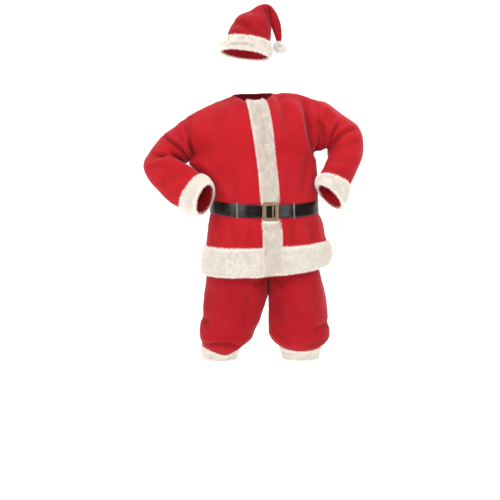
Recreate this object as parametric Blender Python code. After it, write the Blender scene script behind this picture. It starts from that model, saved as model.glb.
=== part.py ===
"""A worn suit of red plush with fur trim: coat, belt, trousers and hat, hollow and held in its worn pose.

The front faces -Y and +Z is up. The origin is at the base of the neck. Left and right are the wearer's,
so left is at +X. Sizes are in millimetres, and a mesh is scaled to metres when it is made.
"""

from math import cos, exp, pi, radians, sin
from typing import NamedTuple

import bmesh
import bpy
import numpy as np

MM = 0.001

# Cloth and trim thicknesses
CLOTH = 2.0
SEAM_GAP = 0.3
FUR = 10.0
STRIP_FUR = 12.0
STRIP_PRESSED = 3.0
BAND_EDGE = 0.6
BAND_END = 0.8
STRIP_BESIDE_BELT = 4.0
BELT_THICK = 3.0
BELT_CLEAR = 0.4

# Turn of the body, and the columns of the coat's grid
BODY_TURN = radians(8.5)
STRIP_HALF_WIDTH = 44.0
STRIP_CELLS = 2
NECK_CELLS = 2
BACK_NECK_CELLS = 3
SEAM_CELLS = 6
FRONT_CELLS = STRIP_CELLS + NECK_CELLS + SEAM_CELLS
BACK_CELLS = BACK_NECK_CELLS + SEAM_CELLS
UPPER_CELLS = 8
SLEEVE_CELLS = 2 * UPPER_CELLS


class CoatRow(NamedTuple):
    """A level section of the coat: a rounded outline with a reach to the left, right, front and back."""

    height: float
    centre_x: float
    left: float
    right: float
    front: float
    back: float
    sag: float


# From the hem up to the underarm; sag is the share of the belt's dip that the row follows.
COAT_ROWS = (
    CoatRow(-774, 36, 284, 284, 188, 182, 0.0),
    CoatRow(-735, 37, 283, 283, 187, 181, 0.0),
    CoatRow(-696, 38, 280, 280, 186, 179, 0.0),
    CoatRow(-653, 39, 274, 274, 184, 176, 0.1),
    CoatRow(-614, 40, 270, 270, 182, 172, 0.3),
    CoatRow(-574, 40, 266, 266, 179, 167, 0.6),
    CoatRow(-536, 38, 259, 259, 172, 160, 0.9),
    CoatRow(-496, 34, 247, 247, 167, 147, 1.0),
    CoatRow(-467, 33, 247, 247, 167, 147, 1.0),
    CoatRow(-438, 32, 247, 247, 167, 147, 1.0),
    CoatRow(-400, 29, 254, 258, 172, 150, 0.7),
    CoatRow(-358, 26, 256, 274, 171, 151, 0.3),
    CoatRow(-315, 22, 254, 302, 167, 151, 0.0),
    CoatRow(-272, 18, 254, 318, 162, 152, 0.0),
    CoatRow(-230, 13, 253, 300, 156, 152, 0.0),
)
HEM_ROWS = slice(0, 4)
BELT_ROWS = slice(7, 10)
BELT_DIP = 22.0
DIP_POWER = 1.2

# Flare of the hem at the wearer's left side, its rise at each side, and its rise towards the left
FLARE_ANGLE = radians(80)
FLARE_SPREAD = radians(26)
FLARE_HEIGHT = -712.0
FLARE_TALL = 70.0
FLARE_REACH = 20.0
RISE_LEFT = 17.0
RISE_RIGHT = 16.0
RISE_TOP = -500.0
HEM_TILT = 0.07
TILT_FROM = -90.0

# Neckline, an ellipse that is lower in front
NECK_CENTRE = np.array((-20.0, 2.0, 34.0))
NECK_HALF_WIDTH = 90.0
NECK_HALF_DEPTH = 78.0
NECK_FRONT_DROP = 44.0
NECK_BACK_RISE = 12.0
NECK_TILT = 0.05


class Shoulder(NamedTuple):
    """One armhole: its upper tip, how far its curve swells, and the shoulder seam's swell over its chord."""

    side: int
    tip_x: float
    tip_y: float
    tip_z: float
    swell_x: float
    front_swell: float
    back_swell: float
    seam_swell: float


SHOULDERS = (
    Shoulder(1, 258, 30, 15, 22, 88, 86, 17),
    Shoulder(-1, -296, -32, -57, -12, 86, 88, 5),
)
SWELL_POWER = 0.85


class Ring(NamedTuple):
    """An elliptical ring of a tube: its outer and inner edge seen from the front, its centre's depth in Y,
    its half depth, and how far its plane leans out of the straight Y direction, in degrees."""

    outer_x: float
    outer_z: float
    inner_x: float
    inner_z: float
    centre_y: float
    half_depth: float
    lean: float


LEFT_SLEEVE = (
    Ring(312, 0, 290, -217, 30, 92, 0),
    Ring(350, -25, 299, -213, 31, 93, 0),
    Ring(402, -61, 312, -210, 32, 92, 0),
    Ring(459, -105, 319, -214, 30, 91, 0),
    Ring(482, -160, 323, -226, 22, 90, 2),
    Ring(485, -213, 321, -243, 6, 88, 6),
    Ring(473, -262, 312, -270, -14, 86, 12),
    Ring(451, -308, 299, -301, -36, 83, 17),
    Ring(412, -388, 277, -333, -62, 77, 20),
    Ring(402, -412, 275, -345, -69, 74, 20),
    Ring(391, -441, 274, -358, -79, 73, 20),
    Ring(374, -476, 276, -370, -88, 73, 20),
)
RIGHT_SLEEVE = (
    Ring(-340, -85, -292, -256, -30, 92, 0),
    Ring(-377, -114, -304, -270, -27, 92, 0),
    Ring(-421, -146, -322, -277, -20, 92, 0),
    Ring(-454, -184, -346, -274, -16, 90, 0),
    Ring(-488, -229, -372, -266, -17, 88, 2),
    Ring(-509, -266, -392, -256, -24, 87, 4),
    Ring(-510, -298, -397, -247, -36, 86, 7),
    Ring(-496, -331, -390, -240, -52, 85, 11),
    Ring(-465, -373, -358, -251, -74, 85, 16),
    Ring(-428, -412, -316, -279, -97, 83, 20),
    Ring(-386, -449, -276, -304, -119, 80, 24),
    Ring(-329, -475, -242, -331, -143, 73, 25),
    Ring(-310, -484, -232, -341, -156, 71, 25),
    Ring(-285, -492, -220, -352, -169, 71, 25),
    Ring(-254, -500, -208, -366, -183, 72, 25),
)
CUFF_RINGS = 4


class LegRow(NamedTuple):
    """A section of both legs at one height: outer and inner edge of each, and its depth in front and behind.
    hip is 0 where the legs are two tubes and 1 where they are one hip section, turned with the body."""

    height: float
    left_outer: float
    left_inner: float
    right_outer: float
    right_inner: float
    front: float
    back: float
    hip: float


LEG_ROWS = (
    LegRow(-1168, 276, 123, -248, -98, 70, 82, 0.0),
    LegRow(-1139, 277, 122, -249, -97, 71, 83, 0.0),
    LegRow(-1106, 290, 108, -250, -80, 82, 94, 0.0),
    LegRow(-1082, 324, 74, -257, -27, 106, 118, 0.0),
    LegRow(-1048, 334, 55, -262, -13, 116, 128, 0.0),
    LegRow(-1004, 325, 54, -258, 9, 115, 127, 0.0),
    LegRow(-966, 323, 53, -247, 20, 116, 128, 0.0),
    LegRow(-920, 319, 53, -247, 36, 118, 130, 0.0),
    LegRow(-872, 313, 52.4, -243, 51.6, 120, 132, 0.0),
    LegRow(-822, 300, 57.4, -236, 56.6, 126, 134, 0.0),
    LegRow(-784, 291, 58.4, -229, 57.6, 132, 136, 0.25),
    LegRow(-742, 284, 58.9, -222, 58.1, 138, 136, 0.7),
    LegRow(-690, 280, 56.0, -216, 55.2, 146, 136, 0.95),
    LegRow(-620, 276, 43, -210, 43, 154, 137, 1.0),
    LegRow(-550, 275, 36, -206, 36, 160, 138, 1.0),
    LegRow(-484, 274.5, 34, -206.5, 34, 160.5, 140.5, 1.0),
)
LEG_CELLS = 8
LEG_CUFF_ROWS = slice(0, 3)
BLOUSE_DROP = 22.0
BLOUSE_HEIGHT = -1094.0
BLOUSE_TALL = 26.0

# The front of the wearer's right leg hangs lower in a soft point
POINT_DROP = 20.0
POINT_X = -136.0
POINT_WIDE = 55.0
POINT_HEIGHT = -1106.0
POINT_TALL = 44.0

HAT_RINGS = (
    Ring(-167, 227, 55, 198, -15, 113, 5),
    Ring(-151, 258, 56, 228, -15, 107, 5),
    Ring(-137, 284, 59, 256, -15, 101, 5),
    Ring(-125, 318, 62, 289, -15, 97, 4),
    Ring(-110, 350, 63, 319, -15, 92, 3),
    Ring(-86, 378, 62, 346, -15, 84, 1),
    Ring(-51, 398, 58, 373, -15, 72, 0),
    Ring(-6, 421, 52, 394, -15, 56, 0),
    Ring(27, 432, 50, 406, -15, 47, 0),
    Ring(48, 433, 52, 409, -15, 41, 0),
    Ring(66, 424, 53.2, 401, -15, 36, 0),
    Ring(82, 403, 55, 391, -15, 32, 0),
    Ring(92, 381, 60.8, 371, -15, 29, 0),
    Ring(102, 346, 64.4, 341, -15, 26, 0),
    Ring(107, 317, 72, 314, -15, 21, 0),
    Ring(109, 278, 87, 273, -15, 13, 0),
)
HAT_CELLS = 20
BRIM_ROWS = slice(0, 3)
POMPOM_RADIUS = 31.0

# Buckle, a bent frame with a prong over its window
BUCKLE_WIDTH = 74.0
BUCKLE_HEIGHT = 82.0
BUCKLE_BAR = 17.0
BUCKLE_THICK = 5.0
BUCKLE_CORNER = 10.0
BUCKLE_BEND = 370.0
BUCKLE_CLEAR = 0.7
CROSS_BAR = 13.6
SHOULDER_SHARE = 0.6
PRONG_WIDTH = 6.0
PRONG_OFFSET = 10.0
PRONG_BASE = 0.2
PRONG_TOP = 3.6

LOOP_WIDTH = 8.0
LOOP_THICK = 2.0
LOOP_FOOT = 7.0
LOOP_CLEAR = 0.8
LOOP_PAST_BELT = 1.5
LOOP_COLUMNS = {"belt_loop_left": 3.55, "belt_loop_right": -4.5}


class Fold(NamedTuple):
    """A soft trough (or ridge, where deep is negative) along a line seen from the front.
    face is -1 for the front and 1 for the back."""

    face: int
    x1: float
    z1: float
    x2: float
    z2: float
    half_width: float
    deep: float


COAT_FOLDS = (
    Fold(-1, 205, 30, 240, -110, 26, 13),
    Fold(-1, 240, -110, 262, -215, 26, 12),
    Fold(-1, 250, -120, 175, -240, 30, 8),
    Fold(-1, 150, -20, 215, -150, 34, -7),
    Fold(-1, -210, -60, -250, -210, 30, 9),
    Fold(-1, -250, -190, -170, -330, 32, 8),
    Fold(-1, -160, -60, -190, -230, 36, -6),
    Fold(-1, 120, -240, 60, -400, 34, 6),
    Fold(-1, -60, -220, -110, -390, 36, 6),
    Fold(-1, 190, -560, 215, -680, 30, 7),
    Fold(-1, -60, -560, -90, -690, 34, 6),
    Fold(-1, -165, -560, -190, -700, 30, 7),
    Fold(-1, 120, -540, 130, -690, 30, -5),
    Fold(1, 190, 0, 225, -200, 32, 10),
    Fold(1, -220, -70, -225, -230, 32, 10),
    Fold(1, 110, -180, 40, -380, 40, 8),
    Fold(1, -110, -180, -30, -400, 40, 8),
    Fold(1, 10, -60, 5, -260, 44, -6),
    Fold(1, 170, -540, 200, -700, 34, 8),
    Fold(1, 40, -540, 45, -700, 36, 7),
    Fold(1, -110, -540, -140, -700, 36, 8),
)
LEFT_SLEEVE_FOLDS = (
    Fold(-1, 298, -50, 310, -195, 20, 12),
    Fold(-1, 375, -90, 330, -200, 18, 11),
    Fold(-1, 470, -115, 355, -180, 17, 9),
    Fold(-1, 480, -220, 350, -250, 20, 7),
    Fold(-1, 455, -290, 330, -300, 22, 6),
    Fold(1, 360, -70, 330, -200, 22, 10),
    Fold(1, 465, -170, 345, -235, 20, 9),
    Fold(1, 460, -280, 330, -290, 22, 7),
)
RIGHT_SLEEVE_FOLDS = (
    Fold(-1, -425, -155, -365, -195, 18, 12),
    Fold(-1, -365, -195, -318, -262, 18, 12),
    Fold(-1, -320, -90, -330, -190, 20, 8),
    Fold(-1, -480, -250, -400, -300, 20, 8),
    Fold(-1, -450, -340, -330, -330, 20, 7),
    Fold(-1, -400, -410, -300, -370, 22, 6),
    Fold(1, -380, -120, -320, -240, 22, 10),
    Fold(1, -495, -270, -405, -260, 18, 9),
    Fold(1, -430, -380, -330, -310, 22, 8),
)
LEG_FOLDS = (
    Fold(-1, -205, -860, -150, -1010, 30, 8),
    Fold(-1, -60, -880, -120, -1040, 32, 8),
    Fold(-1, -250, -1000, -130, -1050, 20, 8),
    Fold(-1, 80, -880, 140, -1030, 30, 8),
    Fold(-1, 330, -1002, 220, -1045, 16, 10),
    Fold(-1, 240, -860, 250, -1000, 32, -6),
    Fold(1, -170, -850, -120, -1040, 34, 9),
    Fold(1, 170, -850, 210, -1040, 34, 9),
    Fold(1, 310, -1000, 110, -1050, 20, 9),
    Fold(1, -250, -1010, -50, -1050, 20, 9),
)
HAT_FOLDS = (
    Fold(-1, -105, 351, -10, 324, 15, 9),
    Fold(-1, -70, 327, 30, 287, 13, 7),
    Fold(-1, -50, 394, 20, 399, 16, 6),
    Fold(1, -90, 334, 30, 305, 16, 8),
    Fold(1, -50, 387, 30, 368, 15, 7),
)

# Folds fade where the cloth turns edge on
FOLD_FADE = 1.6
SHARP_ANGLE = radians(50)

RED = (0.50, 0.012, 0.020, 1.0)
FUR_WHITE = (0.86, 0.80, 0.72, 1.0)
VINYL_BLACK = (0.012, 0.011, 0.011, 1.0)
BRONZE = (0.30, 0.22, 0.15, 1.0)


def turned(x, y):
    """A point of a level section, turned with the body."""
    return np.array((x * cos(BODY_TURN) - y * sin(BODY_TURN), x * sin(BODY_TURN) + y * cos(BODY_TURN)))


def section_point(row, angle):
    """A point of the coat's section; angle runs from the centre front to the wearer's left."""
    reach = row.left if angle > 0 else row.right
    depth = row.front if cos(angle) > 0 else row.back
    flare = FLARE_REACH * exp(-(((angle - FLARE_ANGLE) / FLARE_SPREAD) ** 2))
    flare *= exp(-(((row.height - FLARE_HEIGHT) / FLARE_TALL) ** 2))
    x, y = turned((reach + flare) * sin(angle), -depth * cos(angle))
    dip = BELT_DIP * row.sag * max(0.0, cos(angle)) ** DIP_POWER
    rise = (RISE_LEFT if angle > 0 else RISE_RIGHT) * sin(angle) ** 4 + HEM_TILT * (x - TILT_FROM)
    rise *= max(0.0, (RISE_TOP - row.height) / (RISE_TOP - COAT_ROWS[0].height))
    return np.array((row.centre_x + x, y, row.height - dip + rise))


def front_angles(reach):
    """Column angles of a row from the centre front to the side seam, with a strip of one width."""
    edge = np.arcsin(STRIP_HALF_WIDTH / reach)
    strip = np.linspace(0, edge, STRIP_CELLS + 1)
    rest = np.linspace(edge, pi / 2, FRONT_CELLS - STRIP_CELLS + 1)
    return np.concatenate((strip, rest[1:]))


def back_angles():
    """Column angles of a row from the centre back to the side seam."""
    return np.linspace(pi, pi / 2, BACK_CELLS + 1)


def neck_point(side, share):
    """A point of the neckline; share runs from the centre front, 0, over the shoulder, 1, to the back, 2."""
    angle = share * pi / 2
    x, y = turned(side * NECK_HALF_WIDTH * sin(angle), -NECK_HALF_DEPTH * cos(angle))
    lift = -NECK_FRONT_DROP * max(0.0, cos(angle)) ** 2 + NECK_BACK_RISE * max(0.0, -cos(angle))
    return NECK_CENTRE + np.array((x, y, lift + NECK_TILT * x))


def armhole_point(shoulder, underarm, share, face):
    """A point of the armhole, from the underarm, 0, to the shoulder tip, 1."""
    tip = np.array((shoulder.tip_x, shoulder.tip_y, shoulder.tip_z))
    reach = shoulder.front_swell if face < 0 else shoulder.back_swell
    swell = np.array((shoulder.swell_x, face * reach, 0.0)) * sin(pi * share) ** SWELL_POWER
    return underarm + (tip - underarm) * share + swell


def seam_point(shoulder, share):
    """A point of the shoulder seam, from the neck, 0, to the tip, 1."""
    neck = neck_point(shoulder.side, 1)
    tip = np.array((shoulder.tip_x, shoulder.tip_y, shoulder.tip_z))
    return neck + (tip - neck) * share + np.array((0, 0, shoulder.seam_swell * sin(pi * share)))


def centre_line_point(low, high, share):
    """The chest's or back's middle line, a quarter ellipse that goes up and then in."""
    turn = share * pi / 2
    level = low + (high - low) * (1 - cos(turn))
    return np.array((low[0] + (high[0] - low[0]) * share, level[1], low[2] + (high[2] - low[2]) * sin(turn)))


def quarter_of_coat(shoulder, face):
    """Rows of one quarter of the coat, from its centre column to its side column."""
    lower = []
    for row in COAT_ROWS:
        angles = front_angles(row.left if shoulder.side > 0 else row.right) if face < 0 else back_angles()
        lower.append([section_point(row, shoulder.side * angle) for angle in angles])
    base = lower[-1]
    if face < 0:
        strip_share = np.arcsin(STRIP_HALF_WIDTH / NECK_HALF_WIDTH) / (pi / 2)
        strip = np.linspace(0, strip_share, STRIP_CELLS + 1)
        neck_shares = np.concatenate((strip, np.linspace(strip_share, 1, NECK_CELLS + 1)[1:]))
    else:
        neck_shares = np.linspace(2, 1, BACK_NECK_CELLS + 1)
    top = [neck_point(shoulder.side, share) for share in neck_shares]
    top += [seam_point(shoulder, (k + 1) / SEAM_CELLS) for k in range(SEAM_CELLS)]
    upper = []
    for i in range(1, UPPER_CELLS + 1):
        v = i / UPPER_CELLS
        middle = centre_line_point(base[0], top[0], v)
        armhole = armhole_point(shoulder, base[-1], v, face)
        row = []
        for j in range(len(base)):
            u = j / (len(base) - 1)
            across = (1 - v) * base[j] + v * top[j] + (1 - u) * middle + u * armhole
            corners = (1 - v) * ((1 - u) * base[0] + u * base[-1]) + v * ((1 - u) * top[0] + u * top[-1])
            row.append(across - corners)
        upper.append(row)
    return np.array(lower + upper)


class Panel:
    """A grid of outer points, rows by columns, with the shared surface normals at them."""

    def __init__(self, grid, wrap=False, hubs=None, held_rows=range(0)):
        self.grid = np.array(grid, float)
        self.wrap = wrap
        self.held_rows = held_rows
        self.hubs = self.grid.mean(axis=1) if hubs is None else np.array(hubs, float)
        self.normals = np.zeros_like(self.grid)

    def cut(self, rows, columns=slice(None)):
        """The part of the panel in these rows and columns, with the normals it has here."""
        part = Panel(self.grid[rows, columns], self.wrap and columns == slice(None), self.hubs[rows])
        part.normals = self.normals[rows, columns]
        return part

    def face_normals(self):
        """(row, column, area normal) of each cell, all pointing away from the hubs."""
        columns = self.grid.shape[1]
        ends = columns if self.wrap else columns - 1
        found = []
        facing = 0.0
        for i in range(len(self.grid) - 1):
            for j in range(ends):
                a, b = self.grid[i, j], self.grid[i, (j + 1) % columns]
                c, d = self.grid[i + 1, (j + 1) % columns], self.grid[i + 1, j]
                normal = np.cross(c - a, d - b) / 2
                facing += normal @ ((a + b + c + d) / 4 - (self.hubs[i] + self.hubs[i + 1]) / 2)
                found.append((i, j, normal))
        sign = 1.0 if facing >= 0 else -1.0
        return [(i, j, sign * normal) for i, j, normal in found]


def share_normals(panels):
    """Gives every panel its vertex normals, averaged over all the cells that meet at a point."""
    total = {}
    for panel in panels:
        columns = panel.grid.shape[1]
        for i, j, normal in panel.face_normals():
            for row, column in ((i, j), (i, j + 1), (i + 1, j), (i + 1, j + 1)):
                key = tuple(np.round(panel.grid[row, column % columns], 2))
                total[key] = total.get(key, np.zeros(3)) + normal
    for panel in panels:
        for index in np.ndindex(panel.grid.shape[:2]):
            normal = total[tuple(np.round(panel.grid[index], 2))]
            panel.normals[index] = normal / np.linalg.norm(normal)


def fold_height(point, normal, folds):
    """How far the folds move a point out."""
    height = 0.0
    for fold in folds:
        if normal[1] * fold.face < 0:
            continue
        start, end = np.array((fold.x1, fold.z1)), np.array((fold.x2, fold.z2))
        along = end - start
        share = np.clip((point[[0, 2]] - start) @ along / (along @ along), 0, 1)
        away = np.linalg.norm(point[[0, 2]] - start - along * share)
        facing = min(1.0, FOLD_FADE * abs(normal[1]))
        height -= fold.deep * facing * exp(-((away / fold.half_width) ** 2))
    return height


def press_folds(panels, folds):
    """Moves the panels' points by the folds, apart from held rows, then shares their normals again."""
    share_normals(panels)
    for panel in panels:
        moved = panel.grid.copy()
        for index in np.ndindex(panel.grid.shape[:2]):
            if index[0] not in panel.held_rows:
                normal = panel.normals[index]
                moved[index] += normal * fold_height(panel.grid[index], normal, folds)
        panel.grid = moved
    share_normals(panels)


def ring_points(ring, cells):
    """Points round a ring, from its inner edge by the front and the outer edge to the back."""
    outer = np.array((ring.outer_x, ring.centre_y, ring.outer_z))
    inner = np.array((ring.inner_x, ring.centre_y, ring.inner_z))
    centre, half = (outer + inner) / 2, (inner - outer) / 2
    travel = np.array((half[2], 0.0, -half[0])) / np.linalg.norm(half)
    lean = radians(ring.lean)
    turns = [2 * pi * k / cells for k in range(cells)]
    return centre, half, travel, lean, turns


def tube(rings, cells, way):
    """Rows of points through the rings; way is 1 or -1, and says to which side of a ring its back leans."""
    rows = []
    for ring in rings:
        centre, half, travel, lean, turns = ring_points(ring, cells)
        back = np.array((0.0, cos(lean), 0.0)) + way * travel * sin(lean)
        rows.append([centre + half * cos(t) - back * ring.half_depth * sin(t) for t in turns])
    return np.array(rows)


def sleeve_panel(shoulder, underarm, rings):
    """The sleeve, from the armhole to its end."""
    steps = range(UPPER_CELLS + 1)
    front = [armhole_point(shoulder, underarm, k / UPPER_CELLS, -1) for k in steps]
    back = [armhole_point(shoulder, underarm, k / UPPER_CELLS, 1) for k in steps]
    armhole = front + back[-2:0:-1]
    rest = tube(rings, SLEEVE_CELLS, -shoulder.side)
    return Panel(np.concatenate((np.array([armhole]), rest)), wrap=True)


def set_back(grid, wrap):
    """Moves each open edge in by half a seam gap, within the surface."""
    moved = grid.copy()
    pairs = [((0, slice(None)), (1, slice(None))), ((-1, slice(None)), (-2, slice(None)))]
    if not wrap:
        pairs += [((slice(None), 0), (slice(None), 1)), ((slice(None), -1), (slice(None), -2))]
    for edge, inside in pairs:
        way = grid[inside] - grid[edge]
        moved[edge] += SEAM_GAP / 2 * way / np.linalg.norm(way, axis=-1, keepdims=True)
    return moved


def split_cell(mesh, layer, corners, rising):
    """Two triangles for a cell, split along its first diagonal where rising, else along its second."""
    a, b, c, d = (layer[row][column] for row, column in corners)
    for face in ((a, b, c), (a, c, d)) if rising else ((a, b, d), (b, c, d)):
        mesh.faces.new(face)


def split_rim(mesh, outer, inner, ends, places):
    """Two triangles for a cell of the rim, split from the outer edge at its lower or leftmost end."""
    first, second = ends
    if tuple(np.round(places[0], 2)) > tuple(np.round(places[1], 2)):
        first, second = second, first
    a, b = outer[first[0]][first[1]], inner[first[0]][first[1]]
    c, d = inner[second[0]][second[1]], outer[second[0]][second[1]]
    mesh.faces.new((a, b, c))
    mesh.faces.new((a, c, d))


def wall(name, panel, low, high, material, tip=False):
    """A closed wall between two heights over a panel's points, each a number or an array of one per point.
    Every wall on the same points splits its cells the same way, along the diagonal that stands out."""
    rows, columns = panel.grid.shape[:2]
    base = set_back(panel.grid, panel.wrap)
    low = np.broadcast_to(np.asarray(low, float), (rows, columns))[..., None]
    high = np.broadcast_to(np.asarray(high, float), (rows, columns))[..., None]
    layers = (base + panel.normals * high, base + panel.normals * low)
    mesh = bmesh.new()
    outer, inner = [[[mesh.verts.new(point * MM) for point in row] for row in layer] for layer in layers]
    ends = columns if panel.wrap else columns - 1
    for i in range(rows - 1):
        for j in range(ends):
            corners = ((i, j), (i, (j + 1) % columns), (i + 1, (j + 1) % columns), (i + 1, j))
            a, b, c, d = (panel.grid[corner] for corner in corners)
            out = sum(panel.normals[corner] for corner in corners)
            rising = (a + c - b - d) @ out > 0
            split_cell(mesh, outer, corners, rising)
            split_cell(mesh, inner, corners, rising)
    rims = [0] if tip else [0, rows - 1]
    for i in rims:
        for j in range(ends):
            k = (j + 1) % columns
            split_rim(mesh, outer, inner, ((i, j), (i, k)), (panel.grid[i, j], panel.grid[i, k]))
    if tip:
        for layer in (outer, inner):
            middle = sum((vert.co for vert in layer[-1][1:]), layer[-1][0].co.copy()) / columns
            peak = mesh.verts.new(middle)
            for j in range(columns):
                mesh.faces.new((layer[-1][j], layer[-1][(j + 1) % columns], peak))
    if not panel.wrap:
        for j in (0, columns - 1):
            for i in range(rows - 1):
                split_rim(mesh, outer, inner, ((i, j), (i + 1, j)), (panel.grid[i, j], panel.grid[i + 1, j]))
    return finished(name, mesh, material)


def finished(name, mesh, material):
    """An object of its own from a bmesh, with its faces pointing out."""
    bmesh.ops.recalc_face_normals(mesh, faces=mesh.faces[:])
    data = bpy.data.meshes.new(name)
    mesh.to_mesh(data)
    mesh.free()
    data.materials.append(material)
    data.shade_smooth()
    data.set_sharp_from_angle(angle=SHARP_ANGLE)
    made = bpy.data.objects.new(name, data)
    bpy.context.scene.collection.objects.link(made)
    return made


def principled(name, colour, roughness, metallic=0.0):
    """A plain material of one colour."""
    material = bpy.data.materials.new(name)
    material.use_nodes = True
    shader = material.node_tree.nodes["Principled BSDF"]
    shader.inputs["Base Color"].default_value = colour
    shader.inputs["Roughness"].default_value = roughness
    shader.inputs["Metallic"].default_value = metallic
    return material


def plush(rows, columns, thick, wrap):
    """Heights of a fur band, lower along its open edges."""
    heights = np.full((rows, columns), SEAM_GAP + thick)
    heights[[0, -1], :] = SEAM_GAP + BAND_EDGE * thick
    if not wrap:
        heights[1:-1, [0, -1]] = SEAM_GAP + BAND_END * thick
    return heights


def fur_band(name, panel, thick, material):
    """A fur band on a panel."""
    rows, columns = panel.grid.shape[:2]
    return wall(name, panel, SEAM_GAP, plush(rows, columns, thick, panel.wrap), material)


def joined(*panels):
    """Panels side by side, where the last column of each is the first of the next."""
    grids = [panels[0].grid] + [panel.grid[:, 1:] for panel in panels[1:]]
    normals = [panels[0].normals] + [panel.normals[:, 1:] for panel in panels[1:]]
    made = Panel(np.concatenate(grids, axis=1), hubs=panels[0].hubs)
    made.normals = np.concatenate(normals, axis=1)
    return made


def flipped(panel):
    """The same panel with its columns in the opposite order."""
    made = Panel(panel.grid[:, ::-1], hubs=panel.hubs)
    made.normals = panel.normals[:, ::-1]
    return made


def ring_of_coat(front_left, back, front_right, rows):
    """A closed ring of the coat's points in these rows, from the centre front round by the left."""
    whole = joined(front_left.cut(rows), back.cut(rows), flipped(front_right.cut(rows)))
    ring = Panel(whole.grid[:, :-1], wrap=True, hubs=whole.hubs)
    ring.normals = whole.normals[:, :-1]
    return ring


def build_coat(red, fur):
    """The fronts, back, sleeves and fur of the coat. Returns the panels that the belt is made on."""
    left, right = SHOULDERS
    quarters = {(s.side, face): quarter_of_coat(s, face) for s in SHOULDERS for face in (-1, 1)}
    hubs = quarters[1, -1][:, 0] * 0.5 + quarters[1, 1][:, 0] * 0.5
    held = range(BELT_ROWS.start, BELT_ROWS.stop)
    front_left = Panel(quarters[1, -1], hubs=hubs, held_rows=held)
    front_right = Panel(quarters[-1, -1], hubs=hubs, held_rows=held)
    back_grid = np.concatenate((quarters[1, 1][:, ::-1], quarters[-1, 1][:, 1:]), axis=1)
    back = Panel(back_grid, hubs=hubs, held_rows=held)
    underarm = len(COAT_ROWS) - 1
    sleeve_left = sleeve_panel(left, front_left.grid[underarm, -1], LEFT_SLEEVE)
    sleeve_right = sleeve_panel(right, front_right.grid[underarm, -1], RIGHT_SLEEVE)
    cloth = (front_left, front_right, back, sleeve_left, sleeve_right)
    press_folds(cloth, COAT_FOLDS + LEFT_SLEEVE_FOLDS + RIGHT_SLEEVE_FOLDS)
    names = ("coat_front_left", "coat_front_right", "coat_back", "sleeve_left", "sleeve_right")
    for name, panel in zip(names, cloth):
        wall(name, panel, -CLOTH, 0.0, red)
    for name, sleeve in (("cuff_left", sleeve_left), ("cuff_right", sleeve_right)):
        fur_band(name, sleeve.cut(slice(-CUFF_RINGS, None)), FUR, fur)
    strip = joined(
        flipped(front_right.cut(slice(None), slice(0, STRIP_CELLS + 1))),
        front_left.cut(slice(None), slice(0, STRIP_CELLS + 1)),
    )
    heights = plush(*strip.grid.shape[:2], STRIP_FUR, False)
    heights[BELT_ROWS] = SEAM_GAP + STRIP_PRESSED
    heights[[BELT_ROWS.start - 1, BELT_ROWS.stop]] = SEAM_GAP + STRIP_BESIDE_BELT
    wall("front_band", strip, SEAM_GAP, heights, fur)
    beside_strip = slice(STRIP_CELLS, None)
    half = BACK_CELLS + 1
    hem_left = joined(front_left.cut(HEM_ROWS, beside_strip), back.cut(HEM_ROWS, slice(0, half)))
    hem_right = joined(front_right.cut(HEM_ROWS, beside_strip), flipped(back.cut(HEM_ROWS, slice(half - 1, None))))
    fur_band("hem_band_left", hem_left, FUR, fur)
    fur_band("hem_band_right", hem_right, FUR, fur)
    return front_left, back, front_right


def belt_lift(columns):
    """How far the belt lies off the coat at each column: over the pressed strip in front, close elsewhere."""
    over_strip = SEAM_GAP + STRIP_PRESSED + BELT_CLEAR
    lift = np.full(columns, BELT_CLEAR)
    for column in range(-STRIP_CELLS, STRIP_CELLS + 1):
        lift[column] = over_strip
    for column in (STRIP_CELLS + 1, -STRIP_CELLS - 1):
        lift[column] = (over_strip + BELT_CLEAR) / 2
    return lift


def build_belt(coat, vinyl, bronze):
    """The strap round the coat, its loops, and the buckle with its prong."""
    ring = ring_of_coat(*coat, BELT_ROWS)
    lift = belt_lift(ring.grid.shape[1])
    wall("belt_strap", ring, lift, lift + BELT_THICK, vinyl)
    around_belt = ring_of_coat(*coat, slice(BELT_ROWS.start - 1, BELT_ROWS.stop + 1))
    for name, column in LOOP_COLUMNS.items():
        build_loop(name, around_belt, column, blend(lift, column) + BELT_THICK + BELT_CLEAR, vinyl)
    front = ring.grid[:, 0] + ring.normals[:, 0] * (lift[0] + BELT_THICK + BUCKLE_CLEAR)
    build_buckle(front[1], bronze)


def blend(values, place):
    """The values at a place that may lie between two whole numbers."""
    whole = int(np.floor(place))
    share = place - whole
    return values[whole] * (1 - share) + values[whole + 1] * share


def build_loop(name, ring, column, lift, material):
    """A narrow band that leaves the coat above the belt, passes over it and meets the coat below.
    The ring holds the belt's rows and one row of the coat on each side of them."""
    below, low, middle, top, above = blend(ring.grid.swapaxes(0, 1), column)
    normals = blend(ring.normals.swapaxes(0, 1), column)
    up = (top - low) / np.linalg.norm(top - low)
    across = np.cross(up, normals[2])
    low_foot = low + (below - low) * LOOP_FOOT / np.linalg.norm(below - low)
    top_foot = top + (above - top) * LOOP_FOOT / np.linalg.norm(above - top)
    path = (
        low_foot + normals[1] * LOOP_CLEAR,
        low - up * LOOP_PAST_BELT + normals[1] * lift,
        middle + normals[2] * lift,
        top + up * LOOP_PAST_BELT + normals[3] * lift,
        top_foot + normals[3] * LOOP_CLEAR,
    )
    grid = np.array([[point - across * LOOP_WIDTH / 2, point + across * LOOP_WIDTH / 2] for point in path])
    panel = Panel(grid)
    panel.normals[:] = normals[2]
    wall(name, panel, 0.0, LOOP_THICK, material)


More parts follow.
